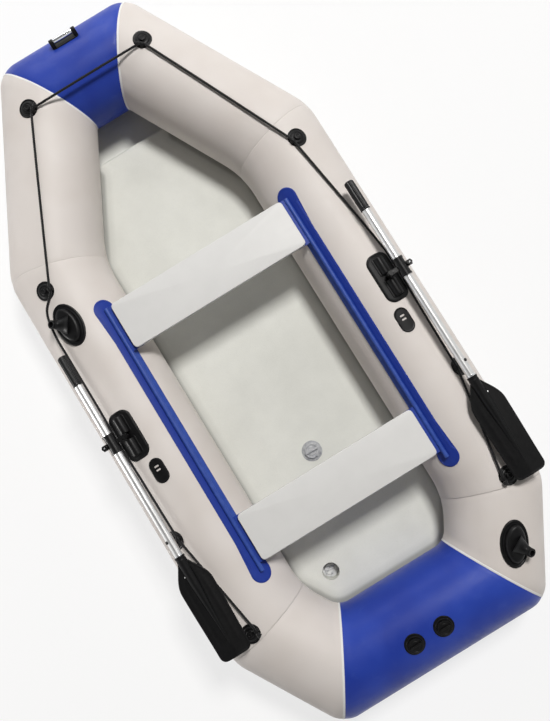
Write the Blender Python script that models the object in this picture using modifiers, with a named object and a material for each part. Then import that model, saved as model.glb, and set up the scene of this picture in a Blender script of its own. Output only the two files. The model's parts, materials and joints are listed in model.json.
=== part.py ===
"""Inflatable rowing boat with a high-pressure air floor, two sliding seats and two oars.

Lengths are in metres. +Y points to the bow, +X to starboard and +Z up. The origin is on the
ground, under the middle of the hull. The hull is a ring of eight straight tube sections, whose
axes lie in one plane. Fittings are placed on a section by their distance along it, their angle
from its top towards the outside, and their height over its skin.
"""

from math import asin, ceil, cos, hypot, pi, radians, sin, sqrt, tan

import bmesh
import bpy
from mathutils import Matrix, Vector

# Clearances shared by every piece
SEAT_GAP = 0.0003
OVERRUN = 0.010
MELD = 0.0004
WELD = 0.00001
ROUND_SIDES = 20
FINE_SIDES = 20
SMALL_SIDES = 12
PIN_SIDES = 12
CORNER_STEPS = 4
DOME_STEPS = 2

# Hull
OVERALL_LENGTH = 2.700
BEAM = 1.304
TUBE_DIAMETER = 0.348
BOW_WIDTH = 0.348
STERN_WIDTH = 0.644
SHOULDER_FROM_BOW = 0.590
QUARTER_FROM_STERN = 0.262
TUBE_SKIN = 0.001
TUBE_SIDES = 40
SEAM_GAP = 0.0006
BAFFLE_SKIN = 0.001

# Floor
SHEET_THICKNESS = 0.0009
SHEET_UNDERSIDE = 0.010
MAT_THICKNESS = 0.060
MAT_SKIN = 0.0012
MAT_FRONT_FROM_BOW = 0.445
MAT_EDGE_RADIUS = 0.012
MAT_FRONT_RADIUS = 0.030
MAT_AFT_RADIUS = 0.100
MAT_TUBE_CLEARANCE = 0.002

# Valves in the floor and the drain
FLOOR_VALVE_FLANGE = 0.078
FLOOR_VALVE_BARREL = 0.046
FLOOR_VALVE_THROAT = 0.028
FLOOR_VALVE_LIFT = 0.006
FLOOR_VALVE_DEPTH = 0.030
FLOOR_VALVE_CAP = 0.056
FLOOR_VALVE_X = -0.016
FLOOR_VALVE_FROM_QUARTER = 0.436
DRAIN_FLANGE = 0.062
DRAIN_THROAT = 0.030
DRAIN_WALL = 0.0025
DRAIN_FLANGE_THICKNESS = 0.0025
DRAIN_CAP = 0.044
DRAIN_WELL = 0.066
DRAIN_WELL_CORNER = 0.014
DRAIN_X = -0.191
DRAIN_FROM_STERN = 0.278

# Valves in the stern tube
HULL_VALVE_SPACING = 0.115
HULL_VALVE_ANGLE = radians(7.5)
HULL_VALVE_FLANGE = 0.074
HULL_VALVE_BARREL = 0.040
HULL_VALVE_THROAT = 0.024
HULL_VALVE_LIFT = 0.007
HULL_VALVE_DEPTH = 0.034
HULL_VALVE_CAP = 0.050

# Parts that every valve shares
VALVE_FLANGE_THICKNESS = 0.003
CAP_THICKNESS = 0.007
CAP_LOBES = 10
CAP_LOBE_DEPTH = 0.0008
CAP_GRIP_WIDTH = 0.006
CAP_GRIP_HEIGHT = 0.005
CAP_PLUG_DEPTH = 0.009
CAP_TOP_RADIUS = 0.0015

# Seat rails
RAIL_ANGLE = radians(-34.5)
RAIL_FRONT_FROM_SHOULDER = 0.246
RAIL_BACK_FROM_QUARTER = 0.188
RAIL_STRIP_WIDTH = 0.049
RAIL_STRIP_THICKNESS = 0.0025
RAIL_END_DIAMETER = 0.070
RAIL_BEAD_BORE = 0.011
RAIL_WALL = 0.003
RAIL_MOUTH = 0.0044

# Seats
SEAT_END_FROM_SIDE = 0.300
SEAT_WIDTH = 0.180
SEAT_THICKNESS = 0.018
SEAT_CORNER_RADIUS = 0.014
SEAT_EDGE_RADIUS = 0.003
FRONT_SEAT_FROM_RAIL_FRONT = 0.000
REAR_SEAT_FROM_RAIL_BACK = 0.028
BEAD_DIAMETER = 0.0092
BEAD_FLANGE_THICKNESS = 0.0024
BEAD_FLANGE_UNDER_SEAT = 0.030

# Oarlocks
OARLOCK_SHARE = 0.44933
OARLOCK_ANGLE = radians(17.5)
OARLOCK_PAD_LENGTH = 0.187
OARLOCK_PAD_WIDTH = 0.094
OARLOCK_PAD_RADIUS = 0.034
OARLOCK_PAD_THICKNESS = 0.005
RIDGE_WIDTH = 0.022
RIDGE_LENGTH = 0.150
RIDGE_AXIS_HEIGHT = 0.0125
RIDGE_GAP = 0.024
TRUNNION_DIAMETER = 0.010
TRUNNION_LENGTH = 0.070
HUB_DIAMETER = 0.013
SWIVEL_SIDE_PLAY = 0.0003
PIN_DIAMETER = 0.010
PIN_PLAY = 0.0003
PIN_HEAD_DIAMETER = 0.015
PIN_HEAD_HEIGHT = 0.004

# Oars
OAR_OFFSET = 0.047
OAR_LIFT = 0.036
SHAFT_DIAMETER = 0.030
SHAFT_WALL = 0.0012
SHAFT_GRIP_OVERLAP = 0.100
SHAFT_BLADE_OVERLAP = 0.085
GRIP_FROM_CLAMP = 0.233
GRIP_LENGTH = 0.117
GRIP_DIAMETER = 0.036
GRIP_RIBS = 12
GRIP_RIB_DEPTH = 0.0008
GRIP_END_RADIUS = 0.006
NECK_FROM_CLAMP = 0.442
BLADE_LENGTH = 0.385
BLADE_WIDTH = 0.124
BLADE_TIP_WIDTH = 0.116
BLADE_TIP_RADIUS = 0.022
BLADE_ROOT_WIDTH = 0.022
BLADE_SHOULDER = 0.120
BLADE_SHOULDER_CURVE = 1.5
BLADE_THICKNESS = 0.004
BLADE_VEE = radians(8)
SOCKET_DIAMETER = 0.036
SOCKET_LENGTH = 0.110
SPINE_TIP_DIAMETER = 0.006
SPINE_END_SHARE = 0.86
BUTTON_FROM_NECK = 0.059
BUTTON_DIAMETER = 0.012
BUTTON_PROUD = 0.0045
BUTTON_ANGLE = radians(45)
BUTTON_FLANGE_DIAMETER = 0.015
BUTTON_FLANGE_THICKNESS = 0.0015

# Clamp that carries the oar
CLAMP_LENGTH = 0.070
CLAMP_WALL = 0.0045
CLAMP_RIM = 0.0018
CLAMP_RIM_LENGTH = 0.007
CLAMP_EYE_DIAMETER = 0.020
CLAMP_EYE_HEIGHT = 0.024
CLAMP_ARM_WIDTH = 0.016
CLAMP_ARM_HEIGHT = 0.016
CLAMP_LUG_LENGTH = 0.020
CLAMP_LUG_THICKNESS = 0.006
CLAMP_LUG_REACH = 0.018
CLAMP_SLIT = 0.0016
SCREW_OFFSET = 0.010
SCREW_DIAMETER = 0.006
SCREW_HEAD_DIAMETER = 0.020
SCREW_HEAD_HEIGHT = 0.008
SCREW_LOBES = 6
SCREW_LOBE_DEPTH = 0.0009
SCREW_NUT_DIAMETER = 0.011
SCREW_NUT_HEIGHT = 0.004

# Eyelets of the grab line
EYELET_DIAMETER = 0.070
EYELET_THICKNESS = 0.0025
EYELET_DOME_DIAMETER = 0.048
EYELET_DOME_HEIGHT = 0.004
EYELET_KNOB_DIAMETER = 0.022
EYELET_KNOB_HEIGHT = 0.011
EYE_OFFSET = 0.026
EYE_HEIGHT = 0.0105
EYE_DIAMETER = 0.017
EYE_LENGTH = 0.012
EYE_ROPE_PLAY = 0.0010

# Shares of the side's length at which the eyelets aft of the oarlock stand
AFT_EYELET_SHARE = 0.7127
STERN_EYELET_SHARE = 0.98

# Grab line
ROPE_DIAMETER = 0.008
ROPE_POINT_SPACING = 0.095
EYE_PASSAGE_LENGTH = 0.0216

# Other fittings
HORN_PAD_LENGTH = 0.163
HORN_PAD_WIDTH = 0.104
HORN_PAD_THICKNESS = 0.004
HORN_HUMP_LENGTH = 0.126
HORN_HUMP_WIDTH = 0.072
HORN_HUMP_HEIGHT = 0.020
HORN_ROOT_DIAMETER = 0.046
HORN_TIP_DIAMETER = 0.029
HORN_BORE = 0.019
HORN_BORE_DEPTH = 0.042
HORN_REACH = 0.040
HORN_LEAN = 0.026
HORN_HEIGHT = 0.044
BOW_SIDE_HORN_FROM_SHOULDER = 0.231
BOW_SIDE_HORN_ANGLE = radians(10.6)
QUARTER_HORN_SHARE = 0.61
QUARTER_HORN_ANGLE = radians(10.5)
SLOT_PAD_LENGTH = 0.094
SLOT_PAD_WIDTH = 0.054
SLOT_PAD_THICKNESS = 0.003
SLOT_PAD_AFT_OF_OARLOCK = 0.159
SLOT_PAD_ANGLE = radians(7)
SLOT_LENGTH = 0.018
SLOT_WIDTH = 0.0065
SLOT_SPACING = 0.014
SLOTS_FORWARD = 0.010
HANDLE_ANGLE = radians(30)
HANDLE_LENGTH = 0.108
HANDLE_BASE_WIDTH = 0.032
HANDLE_BASE_THICKNESS = 0.003
HANDLE_EAR_LENGTH = 0.016
HANDLE_EAR_WIDTH = 0.022
HANDLE_HEIGHT = 0.021
HANDLE_GRIP_DIAMETER = 0.017
HANDLE_GRIP_SWELL = 0.0015
HANDLE_PIN_DIAMETER = 0.006
HANDLE_PIN_LENGTH = 0.010

# Sizes that follow from those above
TUBE_RADIUS = TUBE_DIAMETER / 2
AXIS_HEIGHT = TUBE_RADIUS
SIDE_X = BEAM / 2 - TUBE_RADIUS
BOW_Y = OVERALL_LENGTH / 2 - TUBE_RADIUS
STERN_Y = TUBE_RADIUS - OVERALL_LENGTH / 2
SHOULDER_Y = BOW_Y - SHOULDER_FROM_BOW
QUARTER_Y = STERN_Y + QUARTER_FROM_STERN
FACET = pi / TUBE_SIDES
SHEET_TOP = SHEET_UNDERSIDE + SHEET_THICKNESS
MAT_UNDERSIDE = SHEET_TOP + SEAT_GAP
MAT_TOP = MAT_UNDERSIDE + MAT_THICKNESS
SIDE_LENGTH = SHOULDER_Y - QUARTER_Y
RAIL_LENGTH = SIDE_LENGTH - RAIL_FRONT_FROM_SHOULDER - RAIL_BACK_FROM_QUARTER
SEAT_LENGTH = BEAM - 2 * SEAT_END_FROM_SIDE
OARLOCK_FROM_SHOULDER = SIDE_LENGTH * OARLOCK_SHARE
OARLOCK_Y = SHOULDER_Y - OARLOCK_FROM_SHOULDER
SHAFT_BORE = SHAFT_DIAMETER + 2 * SEAT_GAP
GRIP_END = GRIP_FROM_CLAMP + GRIP_LENGTH
SHAFT_FRONT = GRIP_FROM_CLAMP + SHAFT_GRIP_OVERLAP
SHAFT_BACK = -NECK_FROM_CLAMP - SHAFT_BLADE_OVERLAP
CLAMP_DIAMETER = SHAFT_BORE + 2 * CLAMP_WALL
RAIL_CHANNEL = RAIL_BEAD_BORE + 2 * RAIL_WALL

# Places of the eyelets: section, distance from its forward end, angle, and turn of the eye
BOW, FORWARD, SIDE, QUARTER, STERN = range(5)
SECTION_COUNT = 8
EYELET_PLACES = {
    "bow_eyelet": (FORWARD, 0.092, radians(9), radians(31)),
    "shoulder_eyelet": (SIDE, 0.082, radians(15), radians(16)),
    "aft_eyelet": (SIDE, SIDE_LENGTH * AFT_EYELET_SHARE, radians(36), radians(-5)),
    "stern_eyelet": (SIDE, SIDE_LENGTH * STERN_EYELET_SHARE, radians(12.5), radians(-8)),
}

# Where the line passes the oarlock and the port bow horn: distance from there, angle and height
ROPE_BY_OARLOCK = (
    (-0.100, radians(31), 0.0115),
    (0.000, radians(32), 0.0115),
    (0.100, radians(31), 0.0105),
)
ROPE_BY_HORN = (
    (-0.081, radians(25), 0.0095),
    (0.000, radians(31.5), 0.0095),
    (0.089, radians(32), 0.0095),
)

FLIP = Matrix.Diagonal((-1, 1, 1, 1))
parts = None
helpers = None


def main():
    """Clears the scene and builds the boat, hull first and cordage last."""
    clear_scene()
    build_hull()
    build_floor()
    build_hull_valves()
    build_rails_and_seats()
    build_oarlocks()
    build_oars()
    build_fittings()
    build_grab_line()


def clear_scene():
    """Removes what the scene held and adds the two collections."""
    global parts, helpers
    for obj in list(bpy.data.objects):
        bpy.data.objects.remove(obj, do_unlink=True)
    parts = bpy.data.collections.new("inflatable_rowing_boat")
    helpers = bpy.data.collections.new("cutters_and_guides")
    for collection in (parts, helpers):
        bpy.context.scene.collection.children.link(collection)


# Materials


def material(name, colour, roughness, metallic=0):
    """A Principled material, made once and shared."""
    made = bpy.data.materials.get(name)
    if made is None:
        made = bpy.data.materials.new(name)
        made.use_nodes = True
        shader = made.node_tree.nodes["Principled BSDF"]
        shader.inputs["Base Color"].default_value = (*colour, 1)
        shader.inputs["Roughness"].default_value = roughness
        shader.inputs["Metallic"].default_value = metallic
    return made


def light_pvc():
    """Off-white coated fabric of the six light sections."""
    return material("light_grey_pvc", (0.72, 0.69, 0.66), 0.5)


def blue_pvc():
    """Royal blue coated fabric of the bow and the stern."""
    return material("blue_pvc", (0.03, 0.06, 0.38), 0.45)


def floor_pvc():
    """Pale grey-green floor fabric."""
    return material("floor_pvc", (0.68, 0.69, 0.65), 0.6)


def rail_rubber():
    """Blue moulded rail."""
    return material("blue_rail_rubber", (0.02, 0.04, 0.33), 0.5)


def seat_board():
    """White painted seat board."""
    return material("white_seat_board", (0.74, 0.74, 0.73), 0.45)


def black_rubber():
    """Black rubber of pads and eyelets."""
    return material("black_rubber", (0.015, 0.015, 0.016), 0.6)


def black_plastic():
    """Black moulded plastic of the oar parts."""
    return material("black_plastic", (0.012, 0.012, 0.013), 0.4)


def grey_plastic():
    """Translucent grey plastic of the floor valve and the drain."""
    return material("grey_valve_plastic", (0.48, 0.48, 0.49), 0.4)


def aluminium():
    """Bright drawn aluminium tube."""
    return material("bright_aluminium", (0.85, 0.85, 0.86), 0.25, 1)


def steel():
    """Polished stainless steel."""
    return material("stainless_steel", (0.7, 0.7, 0.7), 0.25, 1)


def rope_yarn():
    """Black polyester rope."""
    return material("black_rope", (0.01, 0.01, 0.01), 0.85)


# Shapes: each maker returns a hidden helper object, and finish makes it a sub-part


def helper(mesh, frame):
    """A hidden wire object for a mesh, to be finished, cut with or joined on."""
    obj = bpy.data.objects.new("helper", mesh)
    helpers.objects.link(obj)
    obj.matrix_world = frame
    obj.hide_render = True
    obj.display_type = "WIRE"
    return obj


def from_bmesh(work, frame):
    """A helper object for a bmesh, which is freed."""
    mesh = bpy.data.meshes.new("shape")
    work.to_mesh(mesh)
    work.free()
    return helper(mesh, frame)


def finish(obj, name, paint):
    """Moves a helper to the boat's collection under its name, smooth-shaded and painted."""
    helpers.objects.unlink(obj)
    parts.objects.link(obj)
    obj.name = name
    obj.data.name = name
    obj.hide_render = False
    obj.display_type = "TEXTURED"
    obj.data.materials.clear()
    obj.data.materials.append(paint)
    obj.data.shade_smooth()
    obj.data.set_sharp_from_angle(angle=radians(30))
    return obj


def evaluated_mesh(obj):
    """The object's mesh with its modifiers applied."""
    graph = bpy.context.evaluated_depsgraph_get()
    return bpy.data.meshes.new_from_object(obj.evaluated_get(graph))


def mirrored(obj, name):
    """The same piece on the other side of the boat."""
    mesh = evaluated_mesh(obj)
    mesh.transform(FLIP)
    mesh.flip_normals()
    mesh.name = name
    twin = bpy.data.objects.new(name, mesh)
    parts.objects.link(twin)
    twin.matrix_world = FLIP @ obj.matrix_world @ FLIP
    return twin


def both_sides(obj, name):
    """Names a finished starboard piece and adds its port twin."""
    obj.name = "starboard_" + name
    return obj, mirrored(obj, "port_" + name)


def change(target, operation, others):
    """Adds one Boolean for each of the others, which then move with the target."""
    for other in others:
        modifier = target.modifiers.new(operation.title(), "BOOLEAN")
        modifier.operation = operation
        modifier.object = other
        place = other.matrix_world.copy()
        other.parent = target
        other.matrix_parent_inverse = target.matrix_world.inverted()
        other.matrix_world = place
    return target


def cut(target, *others):
    """Takes the others away from the target."""
    return change(target, "DIFFERENCE", others)


def join(target, *others):
    """Makes one body of the target and the others."""
    return change(target, "UNION", others)


def common(target, *others):
    """Leaves of the target only what lies inside the others."""
    return change(target, "INTERSECT", others)


def shift(x=0, y=0, z=0):
    """A translation."""
    return Matrix.Translation((x, y, z))


def turn(angle, axis):
    """A rotation about X, Y or Z."""
    return Matrix.Rotation(angle, 4, axis)


def cylinder(radius, length, frame, sides=ROUND_SIDES, top_radius=None):
    """A cylinder or cone that stands on the frame's XY plane."""
    work = bmesh.new()
    bmesh.ops.create_cone(
        work,
        cap_ends=True,
        segments=sides,
        radius1=radius,
        radius2=radius if top_radius is None else top_radius,
        depth=length,
        matrix=shift(z=length / 2),
    )
    return from_bmesh(work, frame)


def centred_cylinder(radius, length, frame, sides=ROUND_SIDES):
    """A cylinder whose middle is at the frame's origin."""
    return cylinder(radius, length, frame @ shift(z=-length / 2), sides)


def box(size, frame):
    """A box whose middle is at the frame's origin."""
    work = bmesh.new()
    bmesh.ops.create_cube(work, size=1, matrix=Matrix.Diagonal((*size, 1)))
    return from_bmesh(work, frame)


def turned(profile, frame, sides=ROUND_SIDES, closed=False):
    """A profile of (radius, height) points, top to bottom on its outer side, spun about Z."""
    work = bmesh.new()
    points = [work.verts.new((radius, 0, height)) for radius, height in profile]
    for first, second in zip(points, points[1:] + points[:1] if closed else points[1:]):
        work.edges.new((first, second))
    obj = from_bmesh(work, frame)
    screw = obj.modifiers.new("Screw", "SCREW")
    screw.steps = sides
    screw.render_steps = sides
    screw.use_merge_vertices = True
    screw.merge_threshold = WELD
    return obj


def curve_solid(curve, frame):
    """A closed mesh made from a curve, with its caps welded on."""
    guide = bpy.data.objects.new("guide", curve)
    helpers.objects.link(guide)
    guide.matrix_world = frame
    mesh = evaluated_mesh(guide)
    bpy.data.objects.remove(guide)
    work = bmesh.new()
    work.from_mesh(mesh)
    bmesh.ops.remove_doubles(work, verts=work.verts, dist=WELD)
    bmesh.ops.recalc_face_normals(work, faces=work.faces)
    return from_bmesh(work, frame)


def plate(outlines, thickness, frame):
    """A flat piece that stands on the frame's XY plane: an outline, then those of its holes."""
    curve = bpy.data.curves.new("outline", "CURVE")
    curve.dimensions = "2D"
    curve.fill_mode = "BOTH"
    curve.extrude = thickness / 2
    for outline in outlines:
        spline = curve.splines.new("POLY")
        spline.points.add(len(outline) - 1)
        for point, (x, y) in zip(spline.points, outline):
            point.co = (x, y, 0, 1)
        spline.use_cyclic_u = True
    return curve_solid(curve, frame @ shift(z=thickness / 2))


def rounded(corners, radii, steps=CORNER_STEPS):
    """The outline through the corners, each rounded by its own radius."""
    outline = []
    count = len(corners)
    for index, (corner, radius) in enumerate(zip(corners, radii)):
        here = Vector(corner)
        before = (Vector(corners[index - 1]) - here).normalized()
        after = (Vector(corners[(index + 1) % count]) - here).normalized()
        half = before.angle(after) / 2
        middle = here + (before + after).normalized() * (radius / sin(half))
        start = here + before * (radius / tan(half)) - middle
        sweep = start.angle_signed(here + after * (radius / tan(half)) - middle)
        for step in range(steps + 1):
            turned_by = Matrix.Rotation(-sweep * step / steps, 2)
            outline.append(tuple(middle + turned_by @ start))
    return outline


def rounded_rectangle(length, width, radius, steps=CORNER_STEPS):
    """A rectangle about the origin, with round corners."""
    x, y = length / 2, width / 2
    return rounded([(x, y), (-x, y), (-x, -y), (x, -y)], [radius] * 4, steps)


def ellipse(length, width, sides=ROUND_SIDES):
    """An ellipse about the origin."""
    angles = [2 * pi * step / sides for step in range(sides)]
    return [(length / 2 * cos(angle), width / 2 * sin(angle)) for angle in angles]


def lobed(radius, lobes, depth, steps=2):
    """A circle with shallow lobes, for a piece that fingers turn or hold."""
    outline = []
    for step in range(lobes * steps):
        angle = 2 * pi * step / (lobes * steps)
        reach = radius - depth / 2 + depth / 2 * cos(lobes * angle)
        outline.append((reach * cos(angle), reach * sin(angle)))
    return outline


def soften(obj, width, steps=2, angle=40):
    """Rounds the edges that are sharper than the angle."""
    bevel = obj.modifiers.new("Bevel", "BEVEL")
    bevel.width = width
    bevel.segments = steps
    bevel.limit_method = "ANGLE"
    bevel.angle_limit = radians(angle)
    return obj


# Hull plan


def corners():
    """Corners of the hull's axis, clockwise from above, from the port bow corner on."""
    starboard = [
        Vector((BOW_WIDTH / 2, BOW_Y)),
        Vector((SIDE_X, SHOULDER_Y)),
        Vector((SIDE_X, QUARTER_Y)),
        Vector((STERN_WIDTH / 2, STERN_Y)),
    ]
    port = [Vector((-point.x, point.y)) for point in reversed(starboard)]
    return port[-1:] + starboard + port[:-1]


def section_length(section):
    """Length of a section's axis."""
    ring = corners()
    return (ring[(section + 1) % SECTION_COUNT] - ring[section]).length


def direction(section):
    """Unit vector along a section, clockwise round the hull."""
    ring = corners()
    section %= SECTION_COUNT
    return (ring[(section + 1) % SECTION_COUNT] - ring[section]).normalized()


def section_frame(section):
    """Origin at the section's forward corner, X along it, Y outboard and Z up."""
    start = corners()[section]
    along = direction(section)
    return Matrix(
        (
            (along.x, -along.y, 0, start.x),
            (along.y, along.x, 0, start.y),
            (0, 0, 1, AXIS_HEIGHT),
            (0, 0, 0, 1),
        )
    )


def station(section, along, angle, height=0, yaw=0):
    """A place on a section's skin: X along it, Y round it towards the outside and Z off it."""
    on_axis = section_frame(section) @ shift(x=along) @ turn(-angle, "X")
    return on_axis @ shift(z=TUBE_RADIUS + height) @ turn(yaw, "Z")


def inset_outline(distance):
    """The plan of the hull's axis, drawn in by a distance."""
    ring = corners()
    outline = []
    for index, corner in enumerate(ring):
        first, second = direction(index - 1), direction(index)
        mitre = (first + second).normalized()
        inward = Vector((mitre.y, -mitre.x))
        outline.append(corner + inward * (distance / mitre.dot(second)))
    return outline


def wall_inset(height, clearance):
    """How far the tubes' inner skin stands in from their axis at a height."""
    reach = TUBE_RADIUS / cos(FACET) + clearance
    return sqrt(reach**2 - (AXIS_HEIGHT - height) ** 2)


# Hull


def tube_cylinder(radius, length):
    """A section's cylinder along X, long enough to be mitred at both ends."""
    work = bmesh.new()
    bmesh.ops.create_cone(
        work,
        cap_ends=True,
        segments=TUBE_SIDES,
        radius1=radius / cos(FACET),
        radius2=radius / cos(FACET),
        depth=length + 2 * TUBE_DIAMETER,
        matrix=shift(x=length / 2) @ turn(pi / 2, "Y") @ turn(FACET, "Z"),
    )
    return work


def mitre(work, section, at_end):
    """Cuts a section's cylinder off where it meets the next one."""
    here = direction(section)
    other = direction(section + 1 if at_end else section - 1)
    plane = (here + other).normalized()
    outboard = Vector((-here.y, here.x))
    normal = Vector((plane.dot(here), plane.dot(outboard), 0))
    place = Vector((section_length(section) if at_end else 0, 0, 0))
    place -= normal * (SEAM_GAP / 2 if at_end else -SEAM_GAP / 2)
    found = bmesh.ops.bisect_plane(
        work,
        geom=work.verts[:] + work.edges[:] + work.faces[:],
        plane_co=place,
        plane_no=normal,
        clear_outer=at_end,
        clear_inner=not at_end,
        dist=WELD,
    )
    rim = [item for item in found["geom_cut"] if isinstance(item, bmesh.types.BMEdge)]
    bmesh.ops.edgeloop_fill(work, edges=rim)


def tube_section(section):
    """One hollow section of the hull, mitred and open at both ends."""
    work = tube_cylinder(TUBE_RADIUS, section_length(section))
    mitre(work, section, at_end=False)
    mitre(work, section, at_end=True)
    bmesh.ops.recalc_face_normals(work, faces=work.faces)
    skin = from_bmesh(work, section_frame(section))
    room = tube_cylinder(TUBE_RADIUS - TUBE_SKIN, section_length(section))
    return cut(skin, from_bmesh(room, section_frame(section)))


def baffle(section, name):
    """The wall inside a blue section that parts the two air chambers."""
    middle = section_frame(section) @ shift(x=section_length(section) / 2)
    radius = (TUBE_RADIUS - TUBE_SKIN - SEAT_GAP) / cos(FACET)
    frame = middle @ turn(pi / 2, "Y") @ turn(FACET, "Z")
    return finish(centred_cylinder(radius, BAFFLE_SKIN, frame, TUBE_SIDES), name, light_pvc())


def build_hull():
    """Eight tube sections and the two baffles inside them."""
    finish(tube_section(BOW), "bow_tube", blue_pvc())
    for section, name in ((FORWARD, "forward_tube"), (SIDE, "side_tube"), (QUARTER, "quarter_tube")):
        both_sides(finish(tube_section(section), name, light_pvc()), name)
    stern = finish(tube_section(STERN), "stern_tube", blue_pvc())
    for frame in hull_valve_frames():
        hole = HULL_VALVE_BARREL / 2 + SEAT_GAP
        cut(stern, centred_cylinder(hole, OVERRUN, frame))
    baffle(BOW, "bow_baffle")
    baffle(STERN, "stern_baffle")


# Floor


def mat_outline(inset):
    """Plan of the air floor, from its front edge round the stern, clockwise."""
    ring = inset_outline(inset)
    front = OVERALL_LENGTH / 2 - MAT_FRONT_FROM_BOW
    front -= inset - wall_inset(MAT_TOP, MAT_TUBE_CLEARANCE)
    bow_corner, shoulder = ring[1], ring[2]
    share = (front - bow_corner.y) / (shoulder.y - bow_corner.y)
    front_corner = bow_corner.lerp(shoulder, share)
    starboard = [front_corner, shoulder, ring[3], ring[4]]
    radii = [MAT_FRONT_RADIUS, MAT_AFT_RADIUS, MAT_AFT_RADIUS, MAT_AFT_RADIUS]
    port = [Vector((-point.x, point.y)) for point in reversed(starboard)]
    return rounded(starboard + port, radii + radii[::-1], 3)


def air_mat():
    """The hollow air floor, with a sleeve round the drain and a hole for its valve."""
    inset = wall_inset(MAT_TOP, MAT_TUBE_CLEARANCE)
    base = shift(z=MAT_UNDERSIDE)
    outer = soften(plate([mat_outline(inset)], MAT_THICKNESS, base), MAT_EDGE_RADIUS, 2, 60)
    room = MAT_THICKNESS - 2 * MAT_SKIN
    inner = plate([mat_outline(inset + MAT_SKIN)], room, base @ shift(z=MAT_SKIN))
    soften(inner, MAT_EDGE_RADIUS - MAT_SKIN, 1, 60)
    well = rounded_rectangle(DRAIN_WELL, DRAIN_WELL, DRAIN_WELL_CORNER, 3)
    sleeve_side = DRAIN_WELL + 2 * MAT_SKIN
    sleeve = rounded_rectangle(sleeve_side, sleeve_side, DRAIN_WELL_CORNER + MAT_SKIN, 3)
    drain = drain_frame() @ shift(z=-OVERRUN)
    reach = MAT_TOP + OVERRUN
    cut(inner, plate([sleeve], reach, drain))
    cut(outer, inner)
    cut(outer, plate([well], reach, drain))
    valve_hole = FLOOR_VALVE_BARREL / 2 + SEAT_GAP
    cut(outer, centred_cylinder(valve_hole, OVERRUN, floor_valve_frame()))
    return finish(outer, "air_deck_floor", floor_pvc())


def drain_frame():
    """On top of the bottom sheet, at the drain."""
    return shift(DRAIN_X, STERN_Y + DRAIN_FROM_STERN, SHEET_TOP)


def floor_valve_frame():
    """On top of the air floor, at its valve."""
    return shift(FLOOR_VALVE_X, QUARTER_Y + FLOOR_VALVE_FROM_QUARTER, MAT_TOP)


def bottom_sheet():
    """The sheet that closes the hull underneath, with its drain hole."""
    outline = [tuple(point) for point in inset_outline(wall_inset(SHEET_TOP, SEAT_GAP))]
    hole = DRAIN_THROAT / 2 + DRAIN_WALL + SEAT_GAP
    sheet = plate([outline], SHEET_THICKNESS, shift(z=SHEET_UNDERSIDE))
    cut(sheet, centred_cylinder(hole, OVERRUN, drain_frame()))
    return finish(sheet, "bottom_sheet", floor_pvc())


def drain_seat():
    """Flanged bush in the bottom sheet."""
    bore = DRAIN_THROAT / 2
    wall = bore + DRAIN_WALL
    rim = DRAIN_FLANGE / 2 - SEAT_GAP
    top = SEAT_GAP + DRAIN_FLANGE_THICKNESS
    foot = -SHEET_THICKNESS - SEAT_GAP
    profile = [(rim, top), (rim, SEAT_GAP), (wall, SEAT_GAP), (wall, foot), (bore, foot), (bore, top)]
    return finish(turned(profile, drain_frame(), closed=True), "drain_seat", grey_plastic())


def screw_cap(radius, plug_radius, frame):
    """A lobed cap with a finger bar on top and a plug below, turned about the frame's Z."""
    cap = plate([lobed(radius, CAP_LOBES, CAP_LOBE_DEPTH)], CAP_THICKNESS, frame)
    bar_length = 2 * (radius - CAP_GRIP_WIDTH)
    bar_height = CAP_GRIP_HEIGHT + MELD
    bar_place = frame @ shift(z=CAP_THICKNESS + CAP_GRIP_HEIGHT / 2 - MELD / 2)
    plug = cylinder(plug_radius, CAP_PLUG_DEPTH + MELD, frame @ shift(z=-CAP_PLUG_DEPTH))
    return join(cap, box((bar_length, CAP_GRIP_WIDTH, bar_height), bar_place), plug)


def drain_plug():
    """The drain's screw plug, which closes the bush from above."""
    frame = drain_frame() @ shift(z=DRAIN_FLANGE_THICKNESS + 2 * SEAT_GAP)
    plug_radius = DRAIN_THROAT / 2 - SEAT_GAP
    return finish(screw_cap(DRAIN_CAP / 2, plug_radius, frame), "drain_plug", grey_plastic())


def valve_barrel(flange, barrel, throat, lift, depth, frame):
    """The turned part of a valve: collar over the skin, barrel through it and a clear throat."""
    rim = (flange + barrel) / 4
    profile = [
        (rim, lift),
        (rim + VALVE_FLANGE_THICKNESS, SEAT_GAP + VALVE_FLANGE_THICKNESS / 2),
        (barrel / 2, SEAT_GAP + VALVE_FLANGE_THICKNESS / 2),
        (barrel / 2, -depth),
        (throat / 2, -depth),
        (throat / 2, lift),
    ]
    return turned(profile, frame, closed=True)


def floor_valve():
    """The air floor's valve body and its cap."""
    frame = floor_valve_frame()
    body = valve_barrel(
        FLOOR_VALVE_FLANGE,
        FLOOR_VALVE_BARREL,
        FLOOR_VALVE_THROAT,
        FLOOR_VALVE_LIFT,
        FLOOR_VALVE_DEPTH,
        frame,
    )
    flange = cylinder(FLOOR_VALVE_FLANGE / 2, VALVE_FLANGE_THICKNESS, frame @ shift(z=SEAT_GAP), FINE_SIDES)
    throat = centred_cylinder(FLOOR_VALVE_BARREL / 2 - MELD, OVERRUN, frame)
    join(body, cut(flange, throat))
    finish(body, "floor_valve_body", grey_plastic())
    cap_frame = frame @ shift(z=FLOOR_VALVE_LIFT + SEAT_GAP)
    cap = screw_cap(FLOOR_VALVE_CAP / 2, FLOOR_VALVE_THROAT / 2 - SEAT_GAP, cap_frame)
    finish(cap, "floor_valve_cap", grey_plastic())


def build_floor():
    """Bottom sheet, air floor, drain and floor valve."""
    bottom_sheet()
    air_mat()
    drain_seat()
    drain_plug()
    floor_valve()


# Pieces that follow the skin of a tube


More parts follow.
